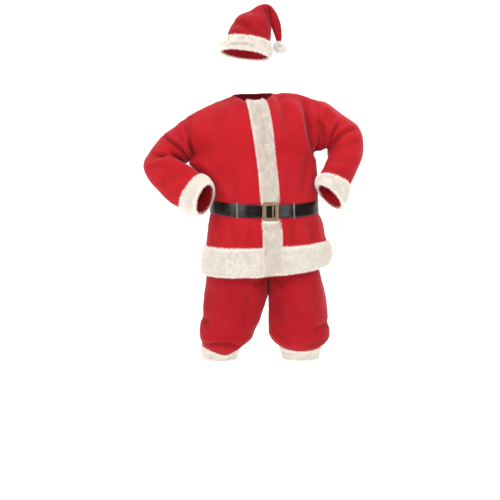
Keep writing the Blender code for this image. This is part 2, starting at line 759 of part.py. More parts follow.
def rounded_outline(width, height, corner, steps=4):
    """Points round a rectangle with round corners, in its own plane."""
    centres = ((1, 1, 0), (-1, 1, 90), (-1, -1, 180), (1, -1, 270))
    points = []
    for side_x, side_z, start in centres:
        for k in range(steps + 1):
            turn = radians(start + 90 * k / steps)
            x = side_x * (width / 2 - corner) + corner * cos(turn)
            points.append((x, side_z * (height / 2 - corner) + corner * sin(turn)))
    return points


def bent_place(seat, x, z, off):
    """A point of the buckle's plane, bent round the belt; off is its distance from the seat."""
    sag = x * x / (2 * BUCKLE_BEND)
    flat = turned(x, -off + sag)
    return np.array((seat[0] + flat[0], seat[1] + flat[1], seat[2] + z))


def build_buckle(seat, bronze):
    """The rectangular frame and the prong that lies across its window."""
    outer = rounded_outline(BUCKLE_WIDTH, BUCKLE_HEIGHT, BUCKLE_CORNER)
    inner = rounded_outline(BUCKLE_WIDTH - 2 * BUCKLE_BAR, BUCKLE_HEIGHT - 2 * CROSS_BAR, BUCKLE_CORNER / 3)
    middle = [((a[0] + b[0]) / 2, (a[1] + b[1]) / 2) for a, b in zip(outer, inner)]
    profile = (
        (outer, 0.0),
        (outer, BUCKLE_THICK * SHOULDER_SHARE),
        (middle, BUCKLE_THICK),
        (inner, BUCKLE_THICK * SHOULDER_SHARE),
        (inner, 0.0),
    )
    mesh = bmesh.new()
    loops = [[mesh.verts.new(bent_place(seat, x, z, off) * MM) for x, z in points] for points, off in profile]
    for first, second in zip(loops, loops[1:] + loops[:1]):
        for k in range(len(first)):
            n = (k + 1) % len(first)
            mesh.faces.new((first[k], first[n], second[n], second[k]))
    finished("buckle_frame", mesh, bronze)
    reach = BUCKLE_HEIGHT / 2 - CROSS_BAR - SEAM_GAP
    mesh = bmesh.new()
    ends = []
    for z in (-reach, reach):
        corners = ((-1, PRONG_BASE), (1, PRONG_BASE), (1, PRONG_TOP), (-1, PRONG_TOP))
        spots = [(PRONG_OFFSET + side * PRONG_WIDTH / 2, off) for side, off in corners]
        ends.append([mesh.verts.new(bent_place(seat, x, z, off) * MM) for x, off in spots])
    for k in range(4):
        n = (k + 1) % 4
        mesh.faces.new((ends[0][k], ends[0][n], ends[1][n], ends[1][k]))
    mesh.faces.new(ends[0])
    mesh.faces.new(ends[1])
    finished("buckle_prong", mesh, bronze)


def leg_point(row, side, face, share):
    """A point of one trouser leg's front or back, from its outseam, 0, to its inseam or centre seam, 1."""
    outer = row.left_outer if side > 0 else row.right_outer
    inner = row.left_inner if side > 0 else row.right_inner
    middle = (row.left_inner + row.right_inner) / 2
    depth = face * (row.front if face < 0 else row.back)
    half_turn = pi * share
    tube_x = (outer + inner) / 2 + (outer - inner) / 2 * cos(half_turn)
    hip_x = middle + (outer - middle) * cos(half_turn / 2)
    x = tube_x + (hip_x - tube_x) * row.hip - middle
    y = depth * (sin(half_turn) + (sin(half_turn / 2) - sin(half_turn)) * row.hip)
    turn = BODY_TURN * row.hip
    drop = BLOUSE_DROP * exp(-(((row.height - BLOUSE_HEIGHT) / BLOUSE_TALL) ** 2))
    if side < 0 and face < 0:
        beside = (middle + x - POINT_X) / POINT_WIDE
        above = (row.height - POINT_HEIGHT) / POINT_TALL
        drop += POINT_DROP * exp(-(beside**2) - above**2)
    drop *= abs(sin(half_turn))
    return np.array((middle + x * cos(turn) - y * sin(turn), x * sin(turn) + y * cos(turn), row.height - drop))


def build_trousers(coat, red, fur):
    """Two fronts, two backs, the waistband and the fur cuffs of the legs."""
    panels = {}
    for side, side_name in ((1, "left"), (-1, "right")):
        for face, face_name in ((-1, "front"), (1, "back")):
            shares = np.linspace(0, 1, LEG_CELLS + 1)
            grid = [[leg_point(row, side, face, share) for share in shares] for row in LEG_ROWS]
            outer = [row.left_outer if side > 0 else row.right_outer for row in LEG_ROWS]
            inner = [row.left_inner if side > 0 else row.right_inner for row in LEG_ROWS]
            hubs = [((a + b) / 2, 0.0, row.height) for a, b, row in zip(outer, inner, LEG_ROWS)]
            panels[f"trouser_{face_name}_{side_name}"] = Panel(grid, hubs=hubs)
    press_folds(list(panels.values()), LEG_FOLDS)
    for name, panel in panels.items():
        wall(name, panel, -CLOTH, 0.0, red)
    for side_name in ("left", "right"):
        front = panels[f"trouser_front_{side_name}"].cut(LEG_CUFF_ROWS)
        back = panels[f"trouser_back_{side_name}"].cut(LEG_CUFF_ROWS)
        whole = joined(front, flipped(back))
        ring = Panel(whole.grid[:, :-1], wrap=True, hubs=whole.hubs)
        ring.normals = whole.normals[:, :-1]
        fur_band(f"leg_cuff_{side_name}", ring, FUR, fur)
    ring = ring_of_coat(*coat, BELT_ROWS)
    clear = CLOTH + 2 * SEAM_GAP
    wall("waistband", ring, -clear - CLOTH, -clear, red)


def build_hat(red, fur):
    """The crown with its folded tail, the fur brim and the pompom."""
    crown = Panel(tube(HAT_RINGS, HAT_CELLS, 1), wrap=True)
    press_folds([crown], HAT_FOLDS)
    wall("hat_crown", crown, -CLOTH, 0.0, red, tip=True)
    fur_band("hat_brim", crown.cut(BRIM_ROWS), STRIP_FUR, fur)
    end, before = crown.grid[-1].mean(axis=0), crown.grid[-2].mean(axis=0)
    way = (end - before) / np.linalg.norm(end - before)
    centre = end + way * (POMPOM_RADIUS + BELT_CLEAR)
    mesh = bmesh.new()
    bmesh.ops.create_icosphere(mesh, subdivisions=3, radius=POMPOM_RADIUS * MM)
    bmesh.ops.translate(mesh, verts=mesh.verts, vec=centre * MM)
    finished("pompom", mesh, fur)


def main():
    """Clears the scene and builds the suit."""
    for item in list(bpy.data.objects):
        bpy.data.objects.remove(item, do_unlink=True)
    red = principled("red plush", RED, 0.95)
    fur = principled("white fur", FUR_WHITE, 0.95)
    vinyl = principled("black vinyl", VINYL_BLACK, 0.25)
    bronze = principled("aged bronze", BRONZE, 0.4, 1.0)
    coat = build_coat(red, fur)
    build_belt(coat, vinyl, bronze)
    build_trousers(coat, red, fur)
    build_hat(red, fur)


main()
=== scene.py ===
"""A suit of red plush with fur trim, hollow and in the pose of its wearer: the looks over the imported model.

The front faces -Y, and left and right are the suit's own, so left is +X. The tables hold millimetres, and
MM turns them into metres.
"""

import logging
import math
from dataclasses import dataclass, field, replace
from enum import Enum

import bmesh
import bpy
import numpy as np
from bmesh.types import BMesh, BMFace
from bpy.types import Material, Mesh, Node, NodeSocket, NodeTree, Object
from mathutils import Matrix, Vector
from mathutils.bvhtree import BVHTree
from mathutils.kdtree import KDTree


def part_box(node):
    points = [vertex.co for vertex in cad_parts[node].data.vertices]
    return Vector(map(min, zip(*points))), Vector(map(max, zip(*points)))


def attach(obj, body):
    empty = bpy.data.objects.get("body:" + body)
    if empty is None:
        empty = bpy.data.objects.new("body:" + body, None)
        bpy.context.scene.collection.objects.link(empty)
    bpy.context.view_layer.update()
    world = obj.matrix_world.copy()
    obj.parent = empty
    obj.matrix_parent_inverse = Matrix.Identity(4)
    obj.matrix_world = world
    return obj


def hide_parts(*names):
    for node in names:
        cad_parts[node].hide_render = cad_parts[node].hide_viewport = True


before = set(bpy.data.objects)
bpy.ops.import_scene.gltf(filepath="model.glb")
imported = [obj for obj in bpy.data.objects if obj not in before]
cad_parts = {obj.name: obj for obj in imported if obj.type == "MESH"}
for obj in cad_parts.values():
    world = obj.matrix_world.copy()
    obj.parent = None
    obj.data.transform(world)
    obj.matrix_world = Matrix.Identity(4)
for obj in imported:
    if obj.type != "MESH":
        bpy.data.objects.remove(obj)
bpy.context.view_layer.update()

MM = 0.001
BODY = "root"
log = logging.getLogger("suit")

# The least length that a normal is divided by
TINY = 1e-12

# Points nearer than this are welded, and this often a smoothed wall is drawn back through its own points
WELD = 0.01
FIT_ROUNDS = 2

# How many waves make a soft uneven one, how far their lengths spread, and the height of their sum
WAVES = 7
WAVE_SPREAD = (0.7, 1.5)
WAVE_PEAK = 3.2


class Side(Enum):
    """The side of the suit that a crease is on, as the sign of its surface normal's Y."""

    FRONT = -1
    BACK = 1


class Slot(Enum):
    """The record's material slots."""

    RED = "red_plush"
    FUR = "white_fur"
    VINYL = "black_vinyl"
    BRONZE = "aged_bronze"


class Part(Enum):
    """The face groups of a closed cloth wall."""

    OUTER = 0
    RIM = 1
    INNER = 2


# Shader trees


# The smooth kind of mapping, and the band in which most of a noise's values lie
SMOOTH = {"interpolation_type": "SMOOTHSTEP"}
SPREAD = (0.3, 0.7)

# Where a mix node has its colours and its result, and a random node its ends and its number
MIX_COLOURS = (6, 7)
MIX_RESULT = 2
RANDOM_ENDS = (2, 3)
RANDOM_NUMBER = 1


class Tree:
    """A node tree that is built node by node."""

    def __init__(self, tree: NodeTree) -> None:
        """Empties the tree.

        Args:
            tree: The tree to build in.
        """
        self.tree = tree
        tree.nodes.clear()

    def add(self, kind: str, settings: dict | None = None, *given: object, **values: object) -> Node:
        """Adds a node.

        Args:
            kind: The node's type.
            settings: Properties to set on the node.
            given: Values of its first sockets, in order, or sockets to link from.
            values: The same for sockets by name, with _ for a space.

        Returns:
            The new node.
        """
        node = self.tree.nodes.new(kind)
        for name, value in (settings or {}).items():
            setattr(node, name, value)
        for socket, value in zip(node.inputs, given):
            self.feed(socket, value)
        self.fill(node, **values)
        return node

    def fill(self, node: Node, **values: object) -> None:
        """Sets or links a node's sockets by name, with _ for a space."""
        for name, value in values.items():
            self.feed(node.inputs[name.replace("_", " ")], value)

    def feed(self, socket: NodeSocket, value: object) -> None:
        """Links a socket from another, or sets its value.

        Args:
            socket: The socket to feed.
            value: Its value, or the socket that it is linked from.
        """
        if isinstance(value, NodeSocket):
            self.tree.links.new(value, socket)
        else:
            socket.default_value = value

    def math(self, operation: str, first: object, second: object = 0.0) -> NodeSocket:
        """A math node's result."""
        return self.add("ShaderNodeMath", {"operation": operation}, first, second).outputs[0]

    def vector(self, operation: str, first: object, second: object) -> NodeSocket:
        """A vector math node's vector result."""
        return self.add("ShaderNodeVectorMath", {"operation": operation}, first, second).outputs["Vector"]

    def scaled(self, vector: object, factor: object) -> NodeSocket:
        """A vector times a number."""
        node = self.add("ShaderNodeVectorMath", {"operation": "SCALE"}, vector, Scale=factor)
        return node.outputs["Vector"]

    def noise(self, at: NodeSocket, scale: float, detail: float = 2.0) -> NodeSocket:
        """A noise texture's value."""
        return self.add("ShaderNodeTexNoise", Vector=at, Scale=scale, Detail=detail).outputs["Fac"]

    def fact(self, name: str) -> NodeSocket:
        """A value that the mesh holds at each point."""
        return self.add("ShaderNodeAttribute", {"attribute_name": name}).outputs["Fac"]

    def ranged(self, value: object, low: float, high: float, to_low: float, to_high: float) -> NodeSocket:
        """A value mapped smoothly from low and high to two other values."""
        ends = {"From_Min": low, "From_Max": high, "To_Min": to_low, "To_Max": to_high}
        return self.add("ShaderNodeMapRange", SMOOTH, Value=value, **ends).outputs["Result"]

    def mixed(self, factor: object, first: object, second: object) -> NodeSocket:
        """Two colours mixed.

        Args:
            factor: The second colour's share.
            first: The first colour.
            second: The second colour.

        Returns:
            The mixed colour's socket.
        """
        node = self.add("ShaderNodeMix", {"data_type": "RGBA"}, Factor=factor)
        for index, colour in zip(MIX_COLOURS, (first, second)):
            self.feed(node.inputs[index], colour)
        return node.outputs[MIX_RESULT]

    def bump(self, height: NodeSocket, distance: float, strength: float, below: object = None) -> NodeSocket:
        """A bump's normal, on top of another one if given.

        Args:
            height: The relief.
            distance: How high it is, in metres.
            strength: How strongly it shows.
            below: The normal of a bump that it lies on.

        Returns:
            The normal's socket.
        """
        ground = {} if below is None else {"Normal": below}
        node = self.add("ShaderNodeBump", Height=height, Distance=distance, Strength=strength, **ground)
        return node.outputs["Normal"]

    def random(self, low: float, high: float, seed: int) -> NodeSocket:
        """A random number between two, for each point.

        Args:
            low: The least.
            high: The most.
            seed: Picks the draw.

        Returns:
            The number's socket.
        """
        node = self.add("FunctionNodeRandomValue", {"data_type": "FLOAT"}, Seed=seed)
        for index, end in zip(RANDOM_ENDS, (low, high)):
            self.feed(node.inputs[index], end)
        return node.outputs[RANDOM_NUMBER]


def shade(colour: tuple[float, ...], share: float = 1.0) -> tuple[float, ...]:
    """An opaque colour, darker or lighter by a share."""
    return (*(share * part for part in colour), 1.0)


def new_material(name: str) -> tuple[Material, Tree, NodeSocket, Node]:
    """A material with a Principled shader.

    Args:
        name: The material's name.

    Returns:
        The material, its tree, its Object coordinate socket and its shader.
    """
    material = bpy.data.materials.new(name)
    material.use_nodes = True
    tree = Tree(material.node_tree)
    shader = tree.add("ShaderNodeBsdfPrincipled")
    tree.add("ShaderNodeOutputMaterial", Surface=shader.outputs["BSDF"])
    place = tree.add("ShaderNodeTexCoord").outputs["Object"]
    return material, tree, place, shader


@dataclass(frozen=True)
class Plush:
    """Short pile cloth: a nap that turns light and dark, a pale haze where seen edge on, dark seams, and
    painted shade in its creases.
    """

    name: str = "red plush"
    colour: tuple[float, ...] = (0.43, 0.0060, 0.012)
    dark: tuple[float, ...] = (0.30, 0.004, 0.009)
    haze: tuple[float, ...] = (1.0, 0.36, 0.42)
    sheen: float = 0.32
    nap_scale: float = 7.0
    mottle_scale: float = 95.0
    pile_scale: float = 1300.0
    stitch_from_edge: float = 0.011
    stitch_width: float = 0.0022
    seam_width: float = 0.0035
    # How far the painted crease shade, the seams and the stitch line darken the cloth towards the deepest
    # colour
    crease_shade_share: float = 0.62
    seam_share: float = 0.5
    stitch_share: float = 0.4
    deepest: float = 0.42
    mottle_height: float = 0.0016
    pile_height: float = 0.0008

    def material(self) -> Material:
        """Builds the material, which reads the mesh's seam, edge and crease values and paints shade into the
        creases.

        Returns:
            The material.
        """
        material, tree, place, shader = new_material(self.name)
        nap = tree.noise(place, self.nap_scale, 3.0)
        mottle = tree.noise(place, self.mottle_scale, 4.0)
        pile = tree.noise(place, self.pile_scale, 2.0)
        groove = tree.ranged(tree.fact("seam"), 0.0, self.seam_width, 1.0, 0.0)
        off_line = tree.math("ABSOLUTE", tree.math("SUBTRACT", tree.fact("edge"), self.stitch_from_edge))
        stitch = tree.ranged(off_line, 0.0, self.stitch_width, 1.0, 0.0)
        tone = tree.mixed(tree.ranged(nap, *SPREAD, 0.0, 0.4), shade(self.colour), shade(self.dark))
        tone = tree.mixed(tree.ranged(mottle, 0.3, 0.75, 0.0, 0.2), tone, shade(self.dark))
        # Painted shade in the creases, mixed with the dark seams and stitch line
        crease_shade_and_seams = tree.math("MULTIPLY", tree.fact("crease"), self.crease_shade_share)
        crease_shade_and_seams = tree.math("MAXIMUM", crease_shade_and_seams, tree.math("MULTIPLY", groove, self.seam_share))
        crease_shade_and_seams = tree.math("MAXIMUM", crease_shade_and_seams, tree.math("MULTIPLY", stitch, self.stitch_share))
        sunk = tree.math("SUBTRACT", tree.math("MULTIPLY", mottle, 0.5), tree.math("ADD", groove, stitch))
        low = tree.bump(sunk, self.mottle_height, 0.55)
        tree.fill(
            shader,
            Base_Color=tree.mixed(crease_shade_and_seams, tone, shade(self.dark, self.deepest)),
            Roughness=tree.ranged(nap, *SPREAD, 0.78, 0.92),
            Normal=tree.bump(pile, self.pile_height, 0.35, low),
            Specular_IOR_Level=0.18,
            Sheen_Weight=self.sheen,
            Sheen_Roughness=0.42,
            Sheen_Tint=shade(self.haze),
        )
        return material


@dataclass(frozen=True)
class Lining:
    """The flat knitted back of the plush."""

    name: str = "plush back"
    colour: tuple[float, ...] = (0.34, 0.012, 0.018)
    cloud_scale: float = 30.0
    rib_scale: float = 520.0
    rib_height: float = 0.0004

    def material(self) -> Material:
        """Builds the material.

        Returns:
            The material.
        """
        material, tree, place, shader = new_material(self.name)
        cloud = tree.ranged(tree.noise(place, self.cloud_scale, 3.0), *SPREAD, 0.0, 0.6)
        slanted = {"bands_direction": "DIAGONAL"}
        weave = tree.add("ShaderNodeTexWave", slanted, Vector=place, Scale=self.rib_scale)
        tree.fill(
            shader,
            Base_Color=tree.mixed(cloud, shade(self.colour), shade(self.colour, 0.6)),
            Normal=tree.bump(weave.outputs["Fac"], self.rib_height, 0.4),
            Roughness=0.92,
            Specular_IOR_Level=0.15,
        )
        return material


@dataclass(frozen=True)
class Fur:
    """White fur: each lock has its own tone, and painted shade makes it warmer and darker near its root and
    in folds.
    """

    name: str
    light: tuple[float, ...] = (1.0, 0.97, 0.92)
    warm: tuple[float, ...] = (0.93, 0.87, 0.79)
    # The colour of the painted shade near the roots and in folds
    root: tuple[float, ...] = (0.84, 0.76, 0.67)
    cloud_scale: float = 22.0
    fluff_scale: float = 420.0
    fluff_height: float = 0.002

    def material(self) -> Material:
        """Builds the material, which reads the mesh's tone, height and crease values; height and crease lay
        painted shade.

        Returns:
            The material.
        """
        material, tree, place, shader = new_material(self.name)
        cloud = tree.ranged(tree.noise(place, self.cloud_scale, 3.0), 0.45, 0.75, 0.0, 0.35)
        fluff = tree.noise(place, self.fluff_scale, 3.0)
        tone = tree.math("MULTIPLY", tree.fact("tone"), 0.55)
        colour = tree.mixed(tone, shade(self.light), shade(self.warm))
        colour = tree.mixed(cloud, colour, shade(self.warm))
        # Painted shade near the roots of the locks and in the folds
        colour = tree.mixed(tree.ranged(tree.fact("height"), 0.0, 0.7, 0.38, 0.0), colour, shade(self.root))
        colour = tree.mixed(tree.math("MULTIPLY", tree.fact("crease"), 0.75), colour, shade(self.root))
        tree.fill(
            shader,
            Base_Color=colour,
            Normal=tree.bump(fluff, self.fluff_height, 0.5),
            Roughness=0.85,
            Specular_IOR_Level=0.15,
            Sheen_Weight=0.25,
            Sheen_Roughness=0.5,
        )
        return material


@dataclass(frozen=True)
class Vinyl:
    """Glossy black sheet with a fine grain and soft wrinkles."""

    name: str = "glossy black vinyl"
    colour: tuple[float, ...] = (0.0045, 0.0035, 0.0032)
    pale: float = 2.2
    roughness: tuple[float, float] = (0.16, 0.26)
    cloud_scale: float = 26.0
    cloud_height: float = 0.004
    grain_scale: float = 900.0
    grain_height: float = 0.0002

    def material(self) -> Material:
        """Builds the material.

        Returns:
            The material.
        """
        material, tree, place, shader = new_material(self.name)
        cloud = tree.noise(place, self.cloud_scale, 3.0)
        grain = tree.noise(place, self.grain_scale, 2.0)
        low = tree.bump(cloud, self.cloud_height, 0.12)
        tree.fill(
            shader,
            Roughness=tree.ranged(cloud, *SPREAD, *self.roughness),
            Base_Color=tree.mixed(cloud, shade(self.colour), shade(self.colour, self.pale)),
            Normal=tree.bump(grain, self.grain_height, 0.15, low),
            Specular_IOR_Level=0.28,
            Coat_Weight=0.05,
            Coat_Roughness=0.1,
        )
        return material


@dataclass(frozen=True)
class Bronze:
    """Cast bronze, pale with patches tarnished dark."""

    name: str = "aged bronze"
    bright: tuple[float, ...] = (0.40, 0.27, 0.18)
    dark: tuple[float, ...] = (0.10, 0.06, 0.035)
    patina_scale: float = 330.0
    pit_scale: float = 1400.0
    pit_height: float = 0.0004

    def material(self) -> Material:
        """Builds the material.

        Returns:
            The material.
        """
        material, tree, place, shader = new_material(self.name)
        patina = tree.noise(place, self.patina_scale, 4.0)
        pits = tree.noise(place, self.pit_scale, 2.0)
        tarnish = tree.ranged(patina, 0.38, 0.62, 0.0, 0.85)
        tree.fill(
            shader,
            Base_Color=tree.mixed(tarnish, shade(self.bright), shade(self.dark)),
            Roughness=tree.ranged(patina, *SPREAD, 0.30, 0.55),
            Normal=tree.bump(pits, self.pit_height, 0.5),
            Metallic=0.9,
        )
        return material


@dataclass(frozen=True)
class Paper:
    """The plain pale floor."""

    name: str = "pale floor"
    colour: tuple[float, ...] = (0.90, 0.90, 0.90)
    glow: float = 0.3
    cloud_scale: float = 0.6

    def material(self) -> Material:
        """Builds the material.

        Returns:
            The material.
        """
        material, tree, place, shader = new_material(self.name)
        cloud = tree.noise(place, self.cloud_scale, 1.0)
        tree.fill(
            shader,
            Base_Color=tree.mixed(cloud, shade(self.colour), shade(self.colour, 0.99)),
            Roughness=0.95,
            Specular_IOR_Level=0.0,
            Emission_Color=shade((1.0, 1.0, 1.0)),
            Emission_Strength=self.glow,
        )
        return material


# Mesh arrays


def rows_of(items: object, name: str, width: int, kind: type) -> np.ndarray:
    """One property of a mesh's items, in rows.

    Args:
        items: The mesh's points, corners or faces.
        name: The property.
        width: How many numbers a row has.
        kind: The type of its numbers.

    Returns:
        The rows.
    """
    each = 3 if name == "co" else 1
    flat = np.empty(each * len(items), dtype=kind)
    items.foreach_get(name, flat)
    return flat.reshape(-1, width)


def points_of(mesh: Mesh) -> np.ndarray:
    """A mesh's points, one row each."""
    return rows_of(mesh.vertices, "co", 3, float)


def quads_of(mesh: Mesh) -> np.ndarray:
    """The corners of a mesh that has only quads, one row each."""
    return rows_of(mesh.loops, "vertex_index", 4, np.int32)


def groups_of(mesh: Mesh) -> np.ndarray:
    """The group number of each face."""
    return rows_of(mesh.polygons, "material_index", 1, np.int32).ravel()


def linked(name: str, data: bpy.types.ID) -> Object:
    """A new object in the scene.

    Args:
        name: The object's name.
        data: Its mesh, lamp or camera.

    Returns:
        The object.
    """
    made = bpy.data.objects.new(name, data)
    bpy.context.scene.collection.objects.link(made)
    return made


def normals_at(points: np.ndarray, quads: np.ndarray) -> np.ndarray:
    """Unit normals at the points, averaged over their faces.

    Args:
        points: The points.
        quads: The faces.

    Returns:
        One normal for each point.
    """
    corner = points[quads]
    across = np.cross(corner[:, 2] - corner[:, 0], corner[:, 3] - corner[:, 1])
    total = np.zeros_like(points)
    for k in range(4):
        np.add.at(total, quads[:, k], across)
    return total / np.maximum(np.linalg.norm(total, axis=1, keepdims=True), TINY)


def smooth_step(value: np.ndarray, low: float, high: float) -> np.ndarray:
    """0 below low, 1 above high, and a smooth rise between."""
    share = np.clip((value - low) / (high - low), 0.0, 1.0)
    return share * share * (3.0 - 2.0 * share)


def distance_to(points: np.ndarray, targets: np.ndarray) -> np.ndarray:
    """How far each point is from the nearest target.

    Args:
        points: The points.
        targets: The targets, one row each.

    Returns:
        The distances in metres.
    """
    tree = KDTree(len(targets))
    for index, target in enumerate(targets):
        tree.insert(target, index)
    tree.balance()
    return np.array([tree.find(point)[2] for point in points])


def merged_copy(node: str) -> BMesh:
    """A solid's mesh with its points merged.

    Args:
        node: The solid's name.

    Returns:
        The mesh.
    """
    mesh = bmesh.new()
    mesh.from_mesh(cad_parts[node].data)
    bmesh.ops.remove_doubles(mesh, verts=mesh.verts, dist=WELD * MM)
    return mesh


def join_into_quads(mesh: BMesh) -> None:
    """Joins pairs of triangles of one group.

    Args:
        mesh: The mesh, which is changed.
    """
    ignored = {f"cmp_{name}": False for name in ("seam", "sharp", "uvs", "vcols")}
    bmesh.ops.join_triangles(
        mesh,
        faces=mesh.faces,
        cmp_materials=True,
        angle_face_threshold=math.pi,
        angle_shape_threshold=math.pi,
        **ignored,
    )


def mark_parts(mesh: BMesh, rim: float) -> None:
    """Marks each face of a closed wall as outer, rim or inner.

    Args:
        mesh: The wall.
        rim: The rim's faces have an edge shorter than this across the wall.
    """
    rims = {face for face in mesh.faces if min(edge.calc_length() for edge in face.edges) < rim}
    left = set(mesh.faces) - rims
    groups: list[tuple[float, list[BMFace]]] = []
    while left:
        stack = [left.pop()]
        group = []
        while stack:
            face = stack.pop()
            group.append(face)
            for edge in face.edges:
                for other in edge.link_faces:
                    if other in left:
                        left.remove(other)
                        stack.append(other)
        groups.append((outward(group), group))
    for face in rims:
        face.material_index = Part.RIM.value
    for measure, group in groups:
        for face in group:
            face.material_index = Part.OUTER.value if measure > 0 else Part.INNER.value


def hold_edges(mesh: BMesh, share: float) -> None:
    """Keeps the edges between a wall's face groups crisp when it is smoothed.

    Args:
        mesh: The wall.
        share: How crisp, from 0 to 1.
    """
    layer = mesh.edges.layers.float.new("crease_edge")
    for edge in mesh.edges:
        if len({face.material_index for face in edge.link_faces}) > 1:
            edge[layer] = share


def outward(group: list[BMFace]) -> float:
    """How far a group of faces points away from its own middle.

    Args:
        group: The faces.

    Returns:
        A measure that is negative where they point inwards.
    """
    areas = [face.calc_area() for face in group]
    spots = [face.calc_center_median() for face in group]
    middle = sum((spot * area for spot, area in zip(spots, areas)), Vector()) / sum(areas)
    return sum((spot - middle).dot(face.normal) * area for face, spot, area in zip(group, spots, areas))


def subdivided(mesh: BMesh, levels: int) -> Mesh:
    """The smooth, subdivided form of a mesh, still through the mesh's own points.

    Args:
        mesh: The coarse mesh, which is freed.
        levels: How many times it is subdivided.

    Returns:
        A mesh of quads.
    """
    coarse = bpy.data.meshes.new("coarse")
    mesh.to_mesh(coarse)
    mesh.free()
    made = linked("coarse", coarse)
    modifier = made.modifiers.new("smooth", "SUBSURF")
    wanted = points_of(coarse)
    modifier.levels = modifier.render_levels = 1
    for _ in range(FIT_ROUNDS):
        smooth = evaluated(made)
        missed = wanted - points_of(smooth)[: len(wanted)]
        bpy.data.meshes.remove(smooth)
        coarse.vertices.foreach_set("co", (points_of(coarse) + missed).ravel())
        coarse.update()
    modifier.levels = modifier.render_levels = levels
    result = evaluated(made)
    bpy.data.objects.remove(made, do_unlink=True)
    bpy.data.meshes.remove(coarse)
    return result


def evaluated(made: Object) -> Mesh:
    """The mesh that an object's modifiers make.

    Args:
        made: The object.

    Returns:
        The mesh.
    """
    bpy.context.view_layer.update()
    graph = bpy.context.evaluated_depsgraph_get()
    return bpy.data.meshes.new_from_object(made.evaluated_get(graph))


def waves(points: np.ndarray, length: float, seed: int, stretch: float = 1.0) -> np.ndarray:
    """Uneven soft waves between about -1 and 1.

    Args:
        points: Where to take them, in metres.
        length: The wave's length in millimetres.
        seed: Picks the waves' directions.
        stretch: How much longer they are in Z.

    Returns:
        The wave's height at each point.
    """
    source = np.random.default_rng(seed)
    total = np.zeros(len(points))
    for _ in range(WAVES):
        way = source.normal(size=3)
        way /= np.linalg.norm(way)
        way[2] /= stretch
        turn = 2 * math.pi / (length * MM * source.uniform(*WAVE_SPREAD))
        total += np.sin(points @ way * turn + source.uniform(0, 2 * math.pi))
    return total / WAVE_PEAK


# Creases

# Over what share of its length a crease's end fades, and where it fades towards the outline
END_FADE = 0.3
OUTLINE_FADE = (-0.2, 0.55)

# A roll's distance from its trough and its width, in widths of the trough, and the depth at which the painted
# crease shade is darkest
ROLL_AT = 1.9
ROLL_WIDTH = 0.85
FULL_SHADE_DEPTH = 12

# How the back's creases differ from the front's: their shift, its change from each to the next, and width
BACK_SHIFT = 9
BACK_TURN = 2.3
BACK_SLOPE = 0.7
BACK_WIDER = 1.15


@dataclass(frozen=True)
class Crease:
    """A soft trough along a line seen from the front, with a roll of cloth on each side; a ridge if depth is
    less than 0. ends are the shares of depth at its ends, and lean moves the roll to the line's left, 1, or
    right, -1. One that goes through is on both sides and the outline between."""

    line: tuple[tuple[float, float], ...]
    width: float
    depth: float
    ends: tuple[float, float] = (0.0, 0.0)
    panels: tuple[str, ...] = ()
    roll: float = 0.4
    lean: float = 0.0
    side: Side = Side.FRONT
    through: bool = False

    def shape(self, points: np.ndarray, normals: np.ndarray) -> tuple[np.ndarray, np.ndarray]:
        """How far the crease moves the points out, and how much painted shade it leaves in them.

        Args:
            points: The points.
            normals: Their normals.

        Returns:
            The moves in metres, and the painted shade from 0 to 1.
        """
        flat = points[:, [0, 2]] / MM
        corners = np.array(self.line)
        lengths = np.linalg.norm(np.diff(corners, axis=0), axis=1)
        nearest = np.full(len(points), np.inf)
        along = np.zeros(len(points))
        hand = np.zeros(len(points))
        for k, length in enumerate(lengths):
            way = (corners[k + 1] - corners[k]) / length
            away = flat - corners[k]
            share = np.clip(away @ way, 0, length)
            gap = away - share[:, None] * way
            distance = np.linalg.norm(gap, axis=1)
            closer = distance < nearest
            nearest = np.where(closer, distance, nearest)
            along = np.where(closer, (lengths[:k].sum() + share) / lengths.sum(), along)
            hand = np.where(closer, np.sign(way[0] * away[:, 1] - way[1] * away[:, 0]), hand)
        start, end = self.ends
        fade = start + (1 - start) * smooth_step(along, 0, END_FADE)
        fade *= end + (1 - end) * smooth_step(1 - along, 0, END_FADE)
        if not self.through:
            fade *= smooth_step(self.side.value * normals[:, 1], *OUTLINE_FADE)
        reach = nearest / self.width
        trough = np.exp(-(reach**2))
        roll = self.roll * (1 + self.lean * hand) * np.exp(-(((reach - ROLL_AT) / ROLL_WIDTH) ** 2))
        # Painted shade: the deeper the trough, the darker it is painted
        dark = np.clip(trough * self.depth / FULL_SHADE_DEPTH, 0, 1) * fade
        return -self.depth * MM * fade * (trough - roll), dark


def mirrored_back(creases: tuple[Crease, ...], share: float) -> tuple[Crease, ...]:
    """Similar creases for the back, moved a little and of another depth.

    Args:
        creases: The front's creases.
        share: The depth of the back's as a share of theirs.

    Returns:
        The back's creases.
    """
    made = []
    for index, crease in enumerate(creases):
        shift = BACK_SHIFT * math.sin(BACK_TURN * index + 1)
        line = tuple((x + shift, z - BACK_SLOPE * shift) for x, z in crease.line)
        size = {"width": crease.width * BACK_WIDER, "depth": crease.depth * share, "lean": -crease.lean}
        made.append(replace(crease, side=Side.BACK, line=line, **size))
    return tuple(made)


